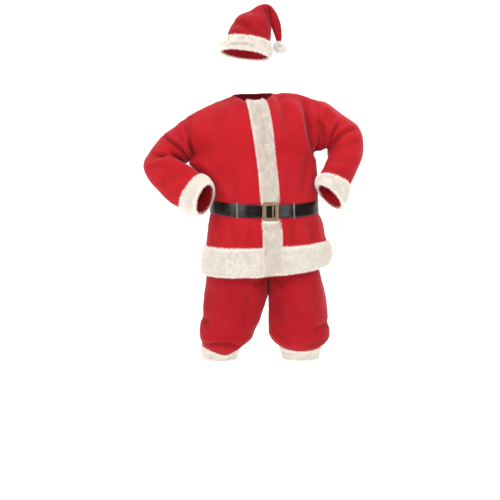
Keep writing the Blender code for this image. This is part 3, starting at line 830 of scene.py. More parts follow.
LEFT_ARM = ("sleeve_left", "coat_front_left", "coat_back")
RIGHT_ARM = ("sleeve_right", "coat_front_right", "coat_back")
RIGHT_SIDE = ("coat_front_right", "coat_back")
LEFT_SLEEVE = ("sleeve_left",)
RIGHT_SLEEVE = ("sleeve_right",)
LEFT_FRONT = ("coat_front_left",)
RIGHT_FRONT = ("coat_front_right",)
LEFT_ARM_CREASES = (
    Crease(
        ((203, 14), (214, -37), (226, -99), (237, -165), (251, -213), (262, -232)),
        15, 10, (0.0, 0.8), LEFT_ARM, roll=0.35, lean=-0.3,
    ),
    Crease(((256, -60), (268, -120), (280, -190)), 20, 5, (0.2, 0.6), LEFT_ARM, roll=0.3),
    Crease(((233, 12), (256, -24), (282, -64), (311, -95)), 4.5, -2.6, (0.8, 0.0), LEFT_ARM, roll=0.0),
    Crease(
        ((268, -70), (290, -115), (302, -163), (303, -202)),
        11, 9, (0.0, 0.9), LEFT_ARM, roll=0.35, lean=0.3,
    ),
    Crease(
        ((378, -80), (356, -112), (340, -140), (328, -172), (319, -208)),
        8, 9, (0.1, 0.9), LEFT_SLEEVE, roll=0.5,
    ),
    Crease(
        ((462, -119), (440, -124), (413, -129), (370, -154), (342, -183), (328, -212)),
        10, 8, (0.2, 0.9), LEFT_SLEEVE, roll=0.45, lean=-0.3,
    ),
    Crease(((472, -172), (420, -186), (375, -202), (345, -226)), 12, 4.5, (0.3, 0.4), LEFT_SLEEVE),
    Crease(((460, -250), (410, -262), (360, -262), (330, -268)), 14, 4, (0.0, 0.3), LEFT_SLEEVE),
    Crease(((425, -330), (385, -320), (340, -310), (305, -312)), 13, 3.5, (0.0, 0.4), LEFT_SLEEVE),
    Crease(((352, -42), (330, -85), (318, -125)), 12, 4, (0.2, 0.0), LEFT_SLEEVE, roll=0.3),
    Crease(((332, -20), (312, -55), (296, -100)), 16, 6, (0.2, 0.4), LEFT_ARM, roll=0.3),
)
UNDER_RIGHT_ARM = (
    Crease(
        ((-296, -244), (-306, -268), (-304, -296)),
        20, -13, (0.3, 0.3), RIGHT_SIDE, roll=0.0, through=True,
    ),
)
RIGHT_ARM_CREASES = (
    Crease(
        ((-430, -148), (-414, -159), (-383, -179), (-353, -199), (-330, -223), (-312, -247), (-304, -278)),
        9, 11, (0.4, 0.7), RIGHT_SLEEVE, roll=0.5, lean=0.2,
    ),
    Crease(((-392, -226), (-374, -236), (-345, -252), (-318, -274)), 9, 8, (0.2, 0.9), RIGHT_SLEEVE),
    Crease(
        ((-328, -68), (-318, -110), (-303, -160), (-296, -215), (-301, -262)),
        10, 7, (0.9, 0.5), RIGHT_ARM, roll=0.5, lean=0.3,
    ),
    Crease(((-300, -76), (-296, -110), (-286, -150), (-270, -180)), 11, 5, (0.5, 0.0), RIGHT_ARM),
    Crease(((-372, -108), (-350, -145), (-330, -178), (-318, -215)), 11, 4.5, (0.5, 0.2), RIGHT_SLEEVE),
    Crease(((-492, -236), (-460, -238), (-425, -246), (-392, -262)), 12, 5, (0.6, 0.0), RIGHT_SLEEVE),
    Crease(((-500, -300), (-455, -292), (-405, -290), (-365, -300)), 14, 4, (0.2, 0.0), RIGHT_SLEEVE),
    Crease(((-455, -372), (-410, -352), (-360, -338), (-315, -322)), 15, 3.5, (0.0, 0.3), RIGHT_SLEEVE),
    Crease(((-395, -425), (-360, -400), (-325, -370)), 13, 3, (0.2, 0.0), RIGHT_SLEEVE),
)
FRONT_CREASES = (
    Crease(((240, -232), (214, -300), (196, -380), (190, -425)), 17, 5, (0.6, 0.3), LEFT_FRONT),
    Crease(((160, -250), (140, -320), (132, -400)), 20, 3.5, (0.0, 0.4), LEFT_FRONT),
    Crease(((-262, -300), (-215, -372), (-150, -425)), 16, 5, (0.6, 0.4), RIGHT_FRONT),
    Crease(((-236, -306), (-170, -296), (-112, -287)), 6, -1.8, (0.0, 0.0), RIGHT_FRONT, roll=0.0),
    Crease(((-90, -300), (-100, -370), (-96, -428)), 20, 3.5, (0.0, 0.5), RIGHT_FRONT),
    Crease(((-196, -540), (-176, -590), (-160, -655)), 17, -5, (0.4, 0.4), RIGHT_FRONT, roll=0.0),
    Crease(((-110, -535), (-98, -600), (-100, -660)), 16, 4.5, (0.7, 0.3), RIGHT_FRONT),
    Crease(((-30, -540), (-38, -600), (-34, -660)), 15, 4, (0.6, 0.3), RIGHT_FRONT),
    Crease(((150, -535), (158, -590), (160, -655)), 17, 5, (0.7, 0.3), LEFT_FRONT),
    Crease(((225, -520), (246, -590), (256, -650)), 17, 5.5, (0.7, 0.4), LEFT_FRONT),
    Crease(((100, 20), (118, -60), (128, -150)), 24, 3.5, (0.3, 0.0), LEFT_FRONT),
    Crease(((-150, -10), (-168, -100), (-176, -190)), 24, 3.5, (0.3, 0.0), RIGHT_FRONT),
)
BACK_CREASES = tuple(
    Crease(line, width, depth, ends, ("coat_back",), side=Side.BACK)
    for line, width, depth, ends in (
        (((150, -250), (90, -330), (60, -420)), 24, 6, (0.0, 0.5)),
        (((-140, -260), (-70, -340), (-20, -425)), 24, 6, (0.0, 0.5)),
        (((205, -300), (175, -360), (165, -425)), 18, 5, (0.2, 0.5)),
        (((-205, -300), (-165, -360), (-140, -425)), 18, 5, (0.2, 0.5)),
        (((190, -530), (210, -600), (222, -670)), 18, 6, (0.7, 0.3)),
        (((95, -530), (105, -600), (108, -670)), 18, 5, (0.7, 0.3)),
        (((10, -530), (6, -600), (8, -670)), 18, 6, (0.7, 0.3)),
        (((-85, -530), (-100, -600), (-108, -670)), 18, 5, (0.7, 0.3)),
        (((-160, -530), (-182, -600), (-196, -670)), 18, 6, (0.7, 0.3)),
    )
)
LEG_CREASES = (
    Crease(
        ((-250, -1086), (-222, -1092), (-190, -1086), (-127, -1086), (-84, -1098), (-60, -1086)),
        9, 8, (0.3, 0.4), roll=0.6, lean=0.5,
    ),
    Crease(((338, -1000), (318, -1003), (288, -1012), (242, -1024)), 12, 6.5, (0.8, 0.0), roll=0.5),
    Crease(((334, -1072), (296, -1080), (250, -1094), (205, -1090)), 12, 5, (0.2, 0.0)),
    Crease(((86, -1040), (120, -1066), (160, -1090)), 10, 5, (0.5, 0.0)),
    Crease(((-252, -960), (-236, -985), (-205, -1005)), 13, 5, (0.4, 0.0)),
    Crease(((-150, -835), (-185, -905), (-212, -985)), 17, -4.5, (0.2, 0.2), roll=0.0),
    Crease(((-30, -850), (-52, -930), (-70, -1010)), 17, 5, (0.2, 0.2)),
    Crease(((88, -880), (98, -950), (110, -1030)), 17, 5, (0.2, 0.2)),
    Crease(((250, -810), (262, -890), (268, -965)), 20, 4, (0.3, 0.1)),
    Crease(((160, -800), (168, -880), (176, -960)), 20, -3.5, (0.2, 0.2), roll=0.0),
    Crease(((70, -790), (96, -808), (134, -818)), 14, 4, (0.2, 0.0)),
    Crease(((40, -790), (10, -812), (-28, -824)), 14, 4, (0.2, 0.0)),
)
HAT_CREASES = (
    Crease(((26, 418), (39, 389), (49, 361), (54, 330)), 7, 6, (0.3, 0.6), roll=0.45),
    Crease(
        ((52, 404), (57, 390), (62, 371), (66, 348), (69, 330)),
        8, -3.2, (0.8, 0.3), roll=0.0, through=True,
    ),
    Crease(((-108, 342), (-72, 337), (-41, 325), (-8, 314)), 12, 7, (0.5, 0.1), roll=0.5, lean=0.2),
    Crease(((-72, 318), (-20, 299), (26, 279)), 9, 5, (0.1, 0.3), roll=0.5),
    Crease(((-54, 392), (-26, 397), (2, 387)), 17, 5, (0.2, 0.1), roll=0.3),
    Crease(((6, 350), (24, 330), (34, 300)), 14, 3, (0.1, 0.1)),
    Crease(((74, 410), (84, 370), (92, 330), (98, 296)), 7, 2.4, (0.2, 0.4)),
)


# Cloth

# How far from a seam or an open edge a point still knows of it, and the inner share of a pin's reach
SEAM_REACH = 0.04
PIN_SHARE = 0.4

# Edges that turn by more than this stay sharp
SHARP_TURN = math.radians(60)


@dataclass(frozen=True)
class Cut:
    """A panel's name and the size that it is cut to: its box in metres and its own area in square metres."""

    node: str
    width: float
    length: float
    area: float
    held: str = "draped"


@dataclass
class Garment:
    """Cloth panels that share one smooth form: skinned over their solids, creased, then parted again."""

    cuts: tuple[Cut, ...]
    creases: tuple[Crease, ...] = ()
    holders: tuple[str, ...] = ()
    rests_on: str = ""
    levels: int = 3
    drape: float = 2.2
    drape_length: float = 120.0
    ripple: float = 0.7
    ripple_length: float = 42.0
    stretch: float = 2.5
    hold: tuple[float, float] = (4.0, 32.0)
    thick: float = 2.0
    rim: float = 2.6
    weld: float = 0.7
    seed: int = 3
    pins: tuple[tuple[float, float, float], ...] = ()
    tuck: float = 0.0
    tuck_below: float = 0.0
    tuck_reach: float = 14.0
    lap: float = 0.0
    lap_at: float = 0.0
    lap_reach: float = 30.0
    lap_depth: float = 15.0
    lap_above: float = 0.0
    lap_fade: float = 60.0
    points: np.ndarray = field(init=False)
    quads: np.ndarray = field(init=False)
    panels: np.ndarray = field(init=False)

    def build(self, outside: Material, inside: Material) -> None:
        """Makes every panel as a piece of its own.

        Args:
            outside: The material of the cloth's face.
            inside: The material of its back.
        """
        self.skin()
        normals = normals_at(self.points, self.quads)
        # The creases' painted shade, which the plush reads as its crease value
        dark = self.crease(normals)
        normals = normals_at(self.points, self.quads)
        seam, edge = self.seams()
        low = self.points[:, 2] < self.tuck_below * MM
        self.points[:, 2] += low * self.tuck * MM * np.clip(1 - edge / (self.tuck_reach * MM), 0, 1)
        for index, cut in enumerate(self.cuts):
            facts = {"crease": dark, "seam": seam, "edge": edge}
            self.part(index, cut, normals, facts, (outside, inside))

    def skin(self) -> None:
        """Takes the solids' outer walls, welds them into one sheet, smooths it and laps it over itself."""
        whole = bmesh.new()
        for index, cut in enumerate(self.cuts):
            solid = merged_copy(cut.node)
            mark_parts(solid, self.rim * MM)
            placed = {}
            for face in solid.faces:
                if face.material_index != Part.OUTER.value:
                    continue
                for vert in face.verts:
                    if vert not in placed:
                        placed[vert] = whole.verts.new(vert.co)
                whole.faces.new([placed[vert] for vert in face.verts]).material_index = index
            solid.free()
        bmesh.ops.remove_doubles(whole, verts=whole.verts, dist=self.weld * MM)
        join_into_quads(whole)
        mesh = subdivided(whole, self.levels)
        self.points = points_of(mesh)
        near = np.exp(-(((self.points[:, 0] / MM - self.lap_at) / self.lap_reach) ** 2))
        near *= smooth_step(self.points[:, 2] / MM, self.lap_above - self.lap_fade, self.lap_above)
        self.points[:, 0] += self.lap * MM * near * np.tanh(self.points[:, 1] / (self.lap_depth * MM))
        self.quads = quads_of(mesh)
        self.panels = groups_of(mesh)
        bpy.data.meshes.remove(mesh)

    def member(self, names: tuple[str, ...]) -> np.ndarray:
        """Which points are on the named panels.

        Args:
            names: The panels, or nothing for all of them.

        Returns:
            True for each point on them.
        """
        if not names:
            return np.ones(len(self.points), dtype=bool)
        wanted = [index for index, cut in enumerate(self.cuts) if cut.node in names]
        found = np.zeros(len(self.points), dtype=bool)
        found[self.quads[np.isin(self.panels, wanted)].ravel()] = True
        return found

    def crease(self, normals: np.ndarray) -> np.ndarray:
        """Moves the points by the drape and the creases, and finds their painted shade.

        Args:
            normals: The points' normals.

        Returns:
            How much painted crease shade each point is left with, from 0 to 1.
        """
        held = [dense_points(node) for node in self.holders]
        free = np.ones(len(self.points))
        if held:
            gap = distance_to(self.points, np.concatenate(held))
            free = smooth_step(gap, self.hold[0] * MM, self.hold[1] * MM)
        for x, z, reach in self.pins:
            gap = np.linalg.norm(self.points[:, [0, 2]] / MM - (x, z), axis=1)
            free *= smooth_step(gap, PIN_SHARE * reach, reach)
        move = self.drape * MM * waves(self.points, self.drape_length, self.seed, self.stretch)
        move += self.ripple * MM * waves(self.points, self.ripple_length, self.seed + 1)
        dark = np.zeros(len(self.points))
        for crease in self.creases:
            on = self.member(crease.panels)
            moved, shaded = crease.shape(self.points[on], normals[on])
            move[on] += moved
            dark[on] = np.maximum(dark[on], shaded)
        self.points = self.points + normals * (move * free)[:, None]
        return dark * free

    def seams(self) -> tuple[np.ndarray, np.ndarray]:
        """How far each point is from a seam between panels, and from an open edge.

        Returns:
            The two distances in metres, up to SEAM_REACH.
        """
        ends = sides_of(self.quads)
        owner = np.tile(self.panels, 4)
        order = np.lexsort(np.sort(ends, axis=1).T)
        ends, owner = np.sort(ends, axis=1)[order], owner[order]
        same = (ends[1:] == ends[:-1]).all(axis=1)
        crossed = np.append(same & (owner[1:] != owner[:-1]), False)
        paired = np.append(same, False) | np.insert(same, 0, False)
        found = []
        for picked in (crossed, ~paired):
            used = np.unique(ends[picked])
            far = np.full(len(self.points), SEAM_REACH)
            if len(used):
                far = np.minimum(far, distance_to(self.points, self.points[used]))
            found.append(far)
        return found[0], found[1]

    def part(
        self, index: int, cut: Cut, normals: np.ndarray, facts: dict[str, np.ndarray], finishes: tuple
    ) -> None:
        """Makes one panel, a thin closed shell, as a piece.

        Args:
            index: The panel's number.
            cut: The panel's name and flat size.
            normals: The skin's normals.
            facts: Values at the skin's points, which the material reads.
            finishes: The materials of the cloth's face and back.
        """
        quads = self.quads[self.panels == index]
        used, inverse = np.unique(quads, return_inverse=True)
        quads = inverse.reshape(-1, 4)
        count = len(used)
        ends = sides_of(quads).tolist()
        known = {tuple(end) for end in ends}
        start, end = np.array([pair for pair in ends if (pair[1], pair[0]) not in known]).T
        rim = np.stack([end, start, start + count, end + count], axis=1)
        outer = self.points[used]
        points = np.concatenate((outer, outer - normals[used] * self.thick * MM))
        faces = np.concatenate((quads, quads[:, ::-1] + count, rim))
        mesh = bpy.data.meshes.new(f"{cut.node}.cloth")
        mesh.from_pydata(points.tolist(), [], faces.tolist())
        back = np.zeros(len(faces), dtype=np.int32)
        back[len(quads) : 2 * len(quads)] = 1
        mesh.polygons.foreach_set("material_index", back)
        for name, values in facts.items():
            attribute = mesh.attributes.new(name, "FLOAT", "POINT")
            attribute.data.foreach_set("value", np.tile(values[used], 2))
        piece = placed_piece(f"{cut.node}.cloth", mesh, finishes, Slot.RED, cut.node)


def sides_of(quads: np.ndarray) -> np.ndarray:
    """The two ends of each side of some quads, one row a side."""
    return np.concatenate([quads[:, [k, (k + 1) % 4]] for k in range(4)])


def reshape(mesh: Mesh, points: np.ndarray) -> None:
    """Moves a mesh's points, and puts all its faces in one group.

    Args:
        mesh: The mesh.
        points: Its new points, one row each.
    """
    mesh.vertices.foreach_set("co", points.ravel())
    mesh.polygons.foreach_set("material_index", np.zeros(len(mesh.polygons), dtype=np.int32))
    mesh.update()


def dense_points(node: str) -> np.ndarray:
    """Points spread closely over a solid.

    Args:
        node: The solid's name.

    Returns:
        The points, one row each.
    """
    mesh = merged_copy(node)
    bmesh.ops.subdivide_edges(mesh, edges=mesh.edges[:], cuts=3, use_grid_fill=True)
    points = np.array([vert.co[:] for vert in mesh.verts])
    mesh.free()
    return points


def placed_piece(name: str, mesh: Mesh, finishes: tuple[Material, ...], slot: Slot, *nodes: str) -> Object:
    """A piece that rides on the body.

    Args:
        name: The piece's name.
        mesh: Its mesh, in place.
        finishes: Its materials.
        slot: The record's material slot; not used.
        nodes: The solids that it stands for.

    Returns:
        The piece.
    """
    mesh.materials.clear()
    for finish in finishes:
        mesh.materials.append(finish)
    mesh.shade_smooth()
    mesh.set_sharp_from_angle(angle=SHARP_TURN)
    piece = linked(name, mesh)
    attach(piece, BODY)
    if nodes:
        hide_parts(*nodes)
    mesh.calc_loop_triangles()
    log.info("%s: %d triangles", name, len(mesh.loop_triangles))
    return piece


# Fur


class Repeat:
    """A geometry node tree with named inputs that repeats one small piece over a base."""

    def __init__(self, name: str, inputs: dict[str, str]) -> None:
        """Starts the tree.

        Args:
            name: The tree's name.
            inputs: The kind of each input beside the geometry, by name.
        """
        self.group = bpy.data.node_groups.new(name, "GeometryNodeTree")
        self.tree = Tree(self.group)
        sockets = self.group.interface
        sockets.new_socket("Geometry", in_out="INPUT", socket_type="NodeSocketGeometry")
        self.names: dict[str, str] = {}
        for key, kind in inputs.items():
            socket = sockets.new_socket(key, in_out="INPUT", socket_type=f"NodeSocket{kind}")
            self.names[key] = socket.identifier
        sockets.new_socket("Geometry", in_out="OUTPUT", socket_type="NodeSocketGeometry")
        self.given = self.tree.add("NodeGroupInput").outputs

    def stored(self, geometry: object, name: str, value: object, domain: str) -> NodeSocket:
        """Stores a named value on a geometry.

        Args:
            geometry: The geometry's socket.
            name: The value's name.
            value: The value's socket.
            domain: Whether the points or the copies hold it.

        Returns:
            The geometry with the value.
        """
        kind = {"data_type": "FLOAT", "domain": domain}
        node = self.tree.add("GeometryNodeStoreNamedAttribute", kind, geometry, Name=name, Value=value)
        return node.outputs[0]

    def end(self, copies: NodeSocket) -> None:
        """Ends the tree: the copies are made real and get their finish.

        Args:
            copies: The copies' socket.
        """
        real = self.tree.add("GeometryNodeRealizeInstances", None, copies).outputs[0]
        dressed = self.tree.add("GeometryNodeSetMaterial", Geometry=real, Material=self.given["Finish"])
        self.tree.add("NodeGroupOutput", None, dressed.outputs[0])

    def made_on(self, base: Object, values: dict[str, object]) -> Mesh:
        """Runs the tree on a base.

        Args:
            base: The object that bears the copies.
            values: The tree's inputs by name.

        Returns:
            The copies' mesh.
        """
        modifier = base.modifiers.new("repeat", "NODES")
        modifier.node_group = self.group
        for name, value in values.items():
            modifier[self.names[name]] = value
        mesh = evaluated(base)
        base.modifiers.remove(modifier)
        return mesh


class Locks(Repeat):
    """Grows locks of fur on the faces marked fur."""

    SWIRL: float = 2.2
    SWIRL_SCALE: float = 30.0
    FALL: tuple[float, float, float] = (0.0, 0.0, -0.45)
    LOOSE: float = 0.5
    SIZES: tuple[float, float] = (0.72, 1.18)

    def __init__(self) -> None:
        """Builds the tree."""
        kinds = {"Density": "Float", "Length": "Float", "Width": "Float", "Lean": "Float"}
        super().__init__("fur locks", kinds | {"Seed": "Int", "Finish": "Material"})
        tree, given = self.tree, self.given
        marked = tree.add("GeometryNodeInputNamedAttribute", {"data_type": "FLOAT"}, Name="fur").outputs[0]
        above = {"data_type": "FLOAT", "operation": "GREATER_THAN"}
        chosen = tree.add("FunctionNodeCompare", above, marked, 0.5).outputs[0]
        spread = tree.add("GeometryNodeDistributePointsOnFaces", Mesh=given["Geometry"], Selection=chosen)
        tree.fill(spread, Density=given["Density"], Seed=given["Seed"])
        aim = tree.vector("ADD", spread.outputs["Normal"], tree.scaled(self.lay(), given["Lean"]))
        turned = tree.add("FunctionNodeAlignRotationToVector", {"axis": "Z"}, Vector=aim).outputs[0]
        spin = tree.random(0.0, 2 * math.pi, 12)
        twist = tree.add("FunctionNodeAxisAngleToRotation", Axis=(0.0, 0.0, 1.0), Angle=spin).outputs[0]
        turned = tree.add("FunctionNodeRotateRotation", {"rotation_space": "LOCAL"}, turned, Rotate_By=twist)
        grown = tree.add("GeometryNodeInstanceOnPoints", Points=spread.outputs["Points"])
        tree.fill(grown, Instance=self.lock(), Rotation=turned.outputs[0], Scale=tree.random(*self.SIZES, 13))
        self.end(self.stored(grown.outputs["Instances"], "tone", tree.random(0.0, 1.0, 14), "INSTANCE"))

    def lay(self) -> NodeSocket:
        """How the locks lie: in swirls, loosely and a little downwards.

        Returns:
            The way that each lock leans, as a vector's socket.
        """
        place = self.tree.add("GeometryNodeInputPosition").outputs[0]
        swirl = self.tree.add("ShaderNodeTexNoise", Vector=place, Scale=self.SWIRL_SCALE, Detail=1.0)
        middled = self.tree.vector("SUBTRACT", swirl.outputs["Color"], (0.5, 0.5, 0.5))
        ends = [(end * self.LOOSE,) * 3 for end in (-1, 1)]
        loose = self.tree.add("FunctionNodeRandomValue", {"data_type": "FLOAT_VECTOR"}, *ends, Seed=11)
        lay = self.tree.vector("ADD", self.tree.scaled(middled, self.SWIRL), loose.outputs[0])
        return self.tree.vector("ADD", lay, self.FALL)

    def lock(self) -> NodeSocket:
        """One lock, a thin spike with its height from 0 at the root to 1 at the tip.

        Returns:
            The lock's mesh socket.
        """
        tree, length = self.tree, self.given["Length"]
        cone = tree.add("GeometryNodeMeshCone", {"fill_type": "NONE"}, Vertices=3, Radius_Top=0.0)
        tree.fill(cone, Radius_Bottom=tree.math("MULTIPLY", self.given["Width"], 0.5), Depth=length)
        place = tree.add("GeometryNodeInputPosition").outputs[0]
        height = tree.add("ShaderNodeSeparateXYZ", Vector=place).outputs["Z"]
        return self.stored(cone.outputs["Mesh"], "height", tree.math("DIVIDE", height, length), "POINT")


@dataclass(frozen=True)
class Pile:
    """How fur grows: locks a square metre, their length and width in millimetres, and how much they lean."""

    density: float = 210000.0
    length: float = 9.5
    width: float = 2.3
    lean: float = 0.62

    def inputs(self) -> dict[str, float]:
        """The inputs of the tree that grows it."""
        sizes = {"Length": self.length * MM, "Width": self.width * MM}
        return {"Density": self.density, "Lean": self.lean} | sizes


@dataclass
class FurTrim:
    """A fur band: a soft thick backing on its solid's form, with locks that reach as far as the solid."""

    node: str
    rests_on: str
    flat: tuple[float, float]
    area: float
    pile: Pile = Pile()
    levels: int = 2
    sink: float = 4.2
    most_sink: float = 0.5
    rim_share: float = 0.75
    edge_hold: float = 0.55
    clump: float = 0.9
    clump_length: float = 26.0
    creases: tuple[Crease, ...] = ()
    seed: int = 21
    pressed_by: tuple[str, ...] = ()
    press_reach: float = 9.0
    rim: float = 8.5
    # The backing's height value, by which it takes some painted root shade, and its tone
    skin_height: float = 0.35
    skin_tone: float = 0.5

    def build(self, locks: Locks, finish: Material) -> None:
        """Makes the backing and its locks.

        Args:
            locks: The tree that grows locks.
            finish: The fur's material.
        """
        solid = merged_copy(self.node)
        self.mark(solid)
        join_into_quads(solid)
        hold_edges(solid, self.edge_hold)
        mesh = subdivided(solid, self.levels)
        points, quads, groups = points_of(mesh), quads_of(mesh), groups_of(mesh)
        normals = normals_at(points, quads)
        shown, top = np.zeros((2, len(points)))
        shown[quads[groups != Part.INNER.value].ravel()] = 1.0
        top[quads[groups == Part.OUTER.value].ravel()] = 1.0
        depth = np.full(len(points), self.sink * MM)
        back = np.unique(quads[groups == Part.INNER.value])
        if len(back):
            depth = np.minimum(depth, self.most_sink * distance_to(points, points[back]))
        move = -depth * (self.rim_share * shown + (1 - self.rim_share) * top)
        move += self.clump * MM * waves(points, self.clump_length, self.seed) * top
        # Painted shade where the creases fold the fur, kept as its crease value
        dark = np.zeros(len(points))
        for crease in self.creases:
            moved, shaded = crease.shape(points, normals)
            move += moved * top
            dark = np.maximum(dark, shaded * top)
        free = shown.copy()
        for node in self.pressed_by:
            free[distance_to(points, dense_points(node)) < self.press_reach * MM] = 0.0
        reshape(mesh, self.fitted(points + normals * move[:, None]))
        # The backing gets a low height, so the painted root shade darkens it too
        low = {"height": self.skin_height * shown, "tone": self.skin_tone * shown}
        for name, values in ({"fur": free, "crease": dark} | low).items():
            mesh.attributes.new(name, "FLOAT", "POINT").data.foreach_set("value", values)
        base = placed_piece(f"{self.node}.fur", mesh, (finish,), Slot.FUR, self.node)
        grown = locks.made_on(base, self.pile.inputs() | {"Seed": self.seed, "Finish": finish})
        tufts = placed_piece(f"{self.node}.locks", grown, (finish,), Slot.FUR)
        self.declare(base, tufts)

    def fitted(self, points: np.ndarray) -> np.ndarray:
        """The points as they are."""
        return points

    def mark(self, solid: BMesh) -> None:
        """Marks the solid's outer, rim and inner faces."""
        mark_parts(solid, self.rim * MM)

    def declare(self, base: Object, tufts: Object) -> None:
        """Does nothing with the backing and its locks."""


@dataclass
class Strip(FurTrim):
    """The strip down the front, whose face, rims and back are told by where they face."""

    pressed_by: tuple[str, ...] = ("belt_strap", "buckle_frame")
    narrow: float = 0.86
    levels_read: int = 40
    level_reach: float = 0.03
    least_rim: float = 0.6
    most_face: float = 0.35

    def fitted(self, points: np.ndarray) -> np.ndarray:
        """The points drawn in towards the strip's middle line.

        Args:
            points: The points, one row each.

        Returns:
            The moved points.
        """
        heights = np.linspace(points[:, 2].min(), points[:, 2].max(), self.levels_read)
        middles = [points[np.abs(points[:, 2] - height) < self.level_reach][:, 0] for height in heights]
        line = np.interp(points[:, 2], heights, [(near.min() + near.max()) / 2 for near in middles])
        points[:, 0] = line + self.narrow * (points[:, 0] - line)
        return points

    def mark(self, solid: BMesh) -> None:
        """Marks the solid's outer, rim and inner faces.

        Args:
            solid: The strip's solid.
        """
        for face in solid.faces:
            if abs(face.normal.y) < self.most_face and abs(face.normal.x) > self.least_rim:
                face.material_index = Part.RIM.value
            else:
                face.material_index = Part.OUTER.value if face.normal.y < 0 else Part.INNER.value


@dataclass
class Hem(FurTrim):
    """Half of the hem's fur, whose front end reaches under the strip's edge."""

    middle: float = 57.0
    reach: float = 9.0
    half_strip: float = 45.0
    spread: float = 60.0

    def fitted(self, points: np.ndarray) -> np.ndarray:
        """The points drawn towards the strip near their front end.

        Args:
            points: The points, one row each.

        Returns:
            The moved points.
        """
        away = points[:, 0] / MM - self.middle
        near = smooth_step(-np.abs(away), -self.spread - self.half_strip, -self.half_strip)
        near = near * (points[:, 1] < 0)
        points[:, 0] -= np.sign(away) * self.reach * MM * near
        return points


@dataclass
class Pompom(FurTrim):
    """The fluffy ball at the hat's tip."""

    fill: float = 0.9

    def mark(self, solid: BMesh) -> None:
        """Marks every face as outer."""
        for face in solid.faces:
            face.material_index = Part.OUTER.value

    def declare(self, base: Object, tufts: Object) -> None:
        """Does nothing with the ball and its locks."""


# Belt and buckle


class Stitches(Repeat):
    """Sets stitches along a line of edges."""

    def __init__(self) -> None:
        """Builds the tree."""
        kinds = {"Pitch": "Float", "Length": "Float", "Width": "Float", "Finish": "Material"}
        super().__init__("stitches", kinds)
        tree, given = self.tree, self.given
        path = tree.add("GeometryNodeMeshToCurve", Mesh=given["Geometry"]).outputs[0]
        spots = tree.add("GeometryNodeCurveToPoints", {"mode": "LENGTH"}, Curve=path, Length=given["Pitch"])
        thread = tree.add("GeometryNodeMeshUVSphere", Segments=6, Rings=4, Radius=1.0).outputs[0]
        half = tree.math("MULTIPLY", given["Length"], 0.5)
        slim = tree.math("MULTIPLY", given["Width"], 0.5)
        size = tree.add("ShaderNodeCombineXYZ", X=half, Y=slim, Z=slim).outputs[0]
        along = spots.outputs["Tangent"]
        turned = tree.add("FunctionNodeAlignRotationToVector", {"axis": "X"}, Vector=along).outputs[0]
        sewn = tree.add("GeometryNodeInstanceOnPoints", Points=spots.outputs["Points"], Instance=thread)
        tree.fill(sewn, Rotation=turned, Scale=size)
        self.end(sewn.outputs["Instances"])

    def sew(self, name: str, path: np.ndarray, values: dict[str, object]) -> Mesh:
        """Sews along a closed path.

        Args:
            name: The mesh's name.
            path: The path's points, one row each.
            values: The tree's inputs by name.

        Returns:
            The stitches' mesh.
        """
        count = len(path)
        line = bpy.data.meshes.new(name)
        line.from_pydata(path.tolist(), [(k, (k + 1) % count) for k in range(count)], [])
        made = linked(name, line)
        mesh = self.made_on(made, values)
        bpy.data.objects.remove(made, do_unlink=True)
        bpy.data.meshes.remove(line)
        return mesh


def softened(solid: BMesh, width: float, segments: int) -> Mesh:
    """A solid's mesh with its sharp edges rounded.

    Args:
        solid: The solid's mesh, which is freed.
        width: The rounding's width in millimetres.
        segments: How many faces the rounding has.

    Returns:
        The rounded mesh.
    """
    mesh = bpy.data.meshes.new("solid")
    solid.to_mesh(mesh)
    solid.free()
    made = linked("solid", mesh)
    bevel = made.modifiers.new("edges", "BEVEL")
    bevel.width = width * MM
    bevel.segments = segments
    bevel.limit_method = "ANGLE"
    result = evaluated(made)
    bpy.data.objects.remove(made, do_unlink=True)
    return result


